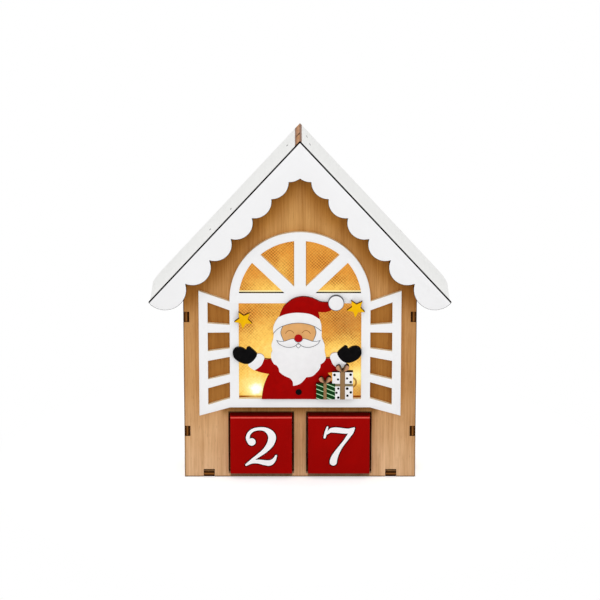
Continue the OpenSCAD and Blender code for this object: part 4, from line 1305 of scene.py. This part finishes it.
class CALENDAR_OT_cubes(bpy.types.Operator):
    """Paint the two number cubes and print a numeral on each of their faces"""
    bl_idname = "calendar.cubes"
    bl_label = "Number cubes"
    numeral_height: length("Numeral height", "Height of a numeral", 27.5)
    # Front, back, left, right, top and bottom numeral of each cube, and where the front one's middle lies
    CUBES = (("tens_cube", (2, 5, 0, 3, 1, 4), (-0.3, -1.3)), ("units_cube", (7, 8, 1, 6, 0, 2), (0.1, -0.8)))
    # Directions to the right and up on each of those faces
    FACES = (((1, 0, 0), (0, 0, 1)), ((-1, 0, 0), (0, 0, 1)), ((0, -1, 0), (0, 0, 1)),
             ((0, 1, 0), (0, 0, 1)), ((1, 0, 0), (0, 1, 0)), ((1, 0, 0), (0, -1, 0)))
    # How far back the top numeral lies, away from the top's front edge and its painted shade, in millimetres
    TOP_SHIFT = 1.8

    def execute(self, context):
        ink = printed("Numeral white", settings().paint.numeral, 0.4, 0.01)
        shadow = printed("Numeral rim", srgb(50, 0, 3), 0.5, 0.1)
        for node, digits, front_shift in self.CUBES:
            dress(node, [gloss_red("Cube red")])
            shifts = (front_shift, (0, 0), (0, 0), (0, 0), (0, self.TOP_SHIFT), (0, 0))
            whites, rims = bmesh.new(), bmesh.new()
            for digit, face, shift in zip(digits, self.FACES, shifts):
                place = self.on_face(node, face, shift)
                numeral(whites, digit, self.numeral_height, place, rise=0.09 * MM, grow=-0.14 * MM)
                numeral(rims, digit, self.numeral_height, place, rise=0.03 * MM, grow=0.56 * MM)
            added(whites, node + "_numerals", ink, node, "off_white_paint")
            added(rims, node + "_numeral_rims", shadow, node, slot_of(node))
        return {"FINISHED"}

    @staticmethod
    def on_face(node, face, shift):
        """A place on a cube's face: u to the right of its shifted middle, v up and height outwards."""
        low, high = (Vector(corner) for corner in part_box(node))
        right, top = (Vector(direction) for direction in face)
        out = right.cross(top)
        middle = (low + high) / 2 + right * shift[0] * MM + top * shift[1] * MM
        half = (high.x - low.x) / 2
        return lambda u, v, h: middle + out * (half + h) + right * u + top * v


class CALENDAR_OT_lighting(bpy.types.Operator):
    """Dress the lamps, their sleeves and the lead"""
    bl_idname = "calendar.lighting"
    bl_label = "Lamps and lead"

    def execute(self, context):
        dress("lamps", [warm_lamp("Warm lamp")])
        dress("lamp_sleeves", [moulded("Sleeve black", srgb(22, 22, 24))])
        dress("lamp_lead", [moulded("Lead green", srgb(20, 70, 36), 0.5)])
        return {"FINISHED"}


class CALENDAR_OT_battery(bpy.types.Operator):
    """Dress the battery box with its lid, cells, contacts, switch and screws"""
    bl_idname = "calendar.battery"
    bl_label = "Battery box"

    def execute(self, context):
        steel = bright_steel("Bright steel")
        for node, finish, bevel in (("battery_box", moulded("Box black", srgb(30, 30, 32)), 0.15),
                                    ("battery_lid", moulded("Lid black", srgb(36, 36, 38)), 0.15),
                                    ("battery_cells", sleeved_cell("Cell sleeve"), 0.2),
                                    ("contact_springs", steel, 0.0), ("contact_plates", steel, 0.0),
                                    ("switch_body", moulded("Switch black", srgb(18, 18, 18)), 0.1),
                                    ("switch_knob", moulded("Knob white", srgb(225, 225, 222), 0.4), 0.25),
                                    ("box_screws", steel, 0.1)):
            dress(node, [finish], bevel=bevel * MM)
        return {"FINISHED"}


class CALENDAR_OT_stage(bpy.types.Operator):
    """Set the floor, the lights and the camera at the photograph's angle"""
    bl_idname = "calendar.stage"
    bl_label = "Stage"

    def execute(self, context):
        stage = settings().stage
        scene = context.scene
        scene.view_settings.view_transform = "Standard"
        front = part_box("front_panel")[0][1]
        camera = bpy.data.cameras.new("Camera")
        camera.lens = stage.lens
        camera.sensor_width = SENSOR_WIDTH
        camera.clip_end = 20
        camera.dof.use_dof = False
        holder = placed("Camera", camera)
        rise = stage.elevation
        back, up = stage.distance * math.cos(rise), stage.distance * math.sin(rise)
        holder.location = (0, front - back, stage.aim + up)
        holder.rotation_euler = (math.radians(90) - rise, 0, 0)
        scene.camera = holder
        self.floor()
        self.world(scene, stage.ambient)
        self.light("Key", stage.key, 1.2, (-0.2, -1.4, 0.75))
        self.light("Fill", stage.fill, 1.4, (0.3, -1.6, 0.16))
        return {"FINISHED"}

    @staticmethod
    def light(name, power, size, place):
        """A square light that looks at the house's middle."""
        lamp = bpy.data.lights.new(name, "AREA")
        lamp.energy = power
        lamp.shape = "SQUARE"
        lamp.size = size
        holder = placed(name, lamp)
        holder.location = place
        ahead = Vector((0, 0, 120 * MM)) - holder.location
        holder.rotation_euler = ahead.to_track_quat("-Z", "Y").to_euler()

    @staticmethod
    def floor():
        """A wide floor just under the base.

        Seen directly, it is white a hand's breadth from the house, and keeps the shadow close to it."""
        f = Finish("Floor", roughness=0.9, specular_ior_level=0.0, base_color=(0.82, 0.82, 0.82))
        lit = Wire(f, f.surface.outputs[0])
        dim, white = (f.node("ShaderNodeEmission", {}, {"Strength": strength}) for strength in (0.5, 1.0))
        near = f.node("ShaderNodeAddShader", {}, {0: lit, 1: dim})
        across, along = f.x(), f.y()
        away = ((across * across + along * along) ** 0.5).between(110.0, 210.0)
        faded = f.node("ShaderNodeMixShader", {}, {0: away, 1: near, 2: white})
        chosen = f.node("ShaderNodeMixShader", {}, {0: f.seen(), 1: lit, 2: faded})
        f.feed(f.tree.nodes["Material Output"].inputs["Surface"], chosen)
        bm = bmesh.new()
        bmesh.ops.create_grid(bm, x_segments=2, y_segments=2, size=6.0)
        mesh = bpy.data.meshes.new("Floor")
        bm.to_mesh(mesh)
        bm.free()
        mesh.materials.append(f.material)
        floor = placed("Floor", mesh)
        floor.location = (0, 0, -0.2 * MM)

    @staticmethod
    def world(scene, ambient):
        """White where it is seen, dimmer where it lights."""
        world = bpy.data.worlds.new("Studio")
        world.use_nodes = True
        world.node_tree.nodes.clear()
        nodes = Nodes(world.node_tree)
        low, white = (nodes.node("ShaderNodeBackground", {}, {"Color": (1, 1, 1), "Strength": strength})
                      for strength in (ambient, 1.0))
        mixed = nodes.node("ShaderNodeMixShader", {}, {0: nodes.seen(), 1: low, 2: white})
        nodes.node("ShaderNodeOutputWorld", {}, {"Surface": mixed})
        scene.world = world


class CALENDAR_PT_panel(bpy.types.Panel):
    """Steps that dress the calendar"""
    bl_label = "Wooden advent calendar"
    bl_idname = "CALENDAR_PT_panel"
    bl_space_type = "VIEW_3D"
    bl_region_type = "UI"
    bl_category = "Calendar"

    def draw(self, context):
        for step in STEPS:
            self.layout.operator(step.bl_idname)


STEPS = (CALENDAR_OT_stage, CALENDAR_OT_boards, CALENDAR_OT_roof, CALENDAR_OT_trim, CALENDAR_OT_window,
         CALENDAR_OT_figure, CALENDAR_OT_parcels, CALENDAR_OT_stars, CALENDAR_OT_cubes, CALENDAR_OT_lighting,
         CALENDAR_OT_battery)
GROUPS = (WoodSettings, PaintSettings, FigureSettings, GlowSettings, StageSettings, CalendarSettings)
CLASSES = GROUPS + STEPS + (CALENDAR_PT_panel,)


def register():
    for one in CLASSES:
        bpy.utils.register_class(one)
    bpy.types.Scene.calendar = PointerProperty(type=CalendarSettings, name="Calendar",
                                               description="Sizes and colours of the calendar")


def unregister():
    del bpy.types.Scene.calendar
    for one in reversed(CLASSES):
        bpy.utils.unregister_class(one)


def main():
    register()
    for step in STEPS:
        group, name = step.bl_idname.split(".")
        getattr(getattr(bpy.ops, group), name)()


if __name__ == "__main__":
    main()
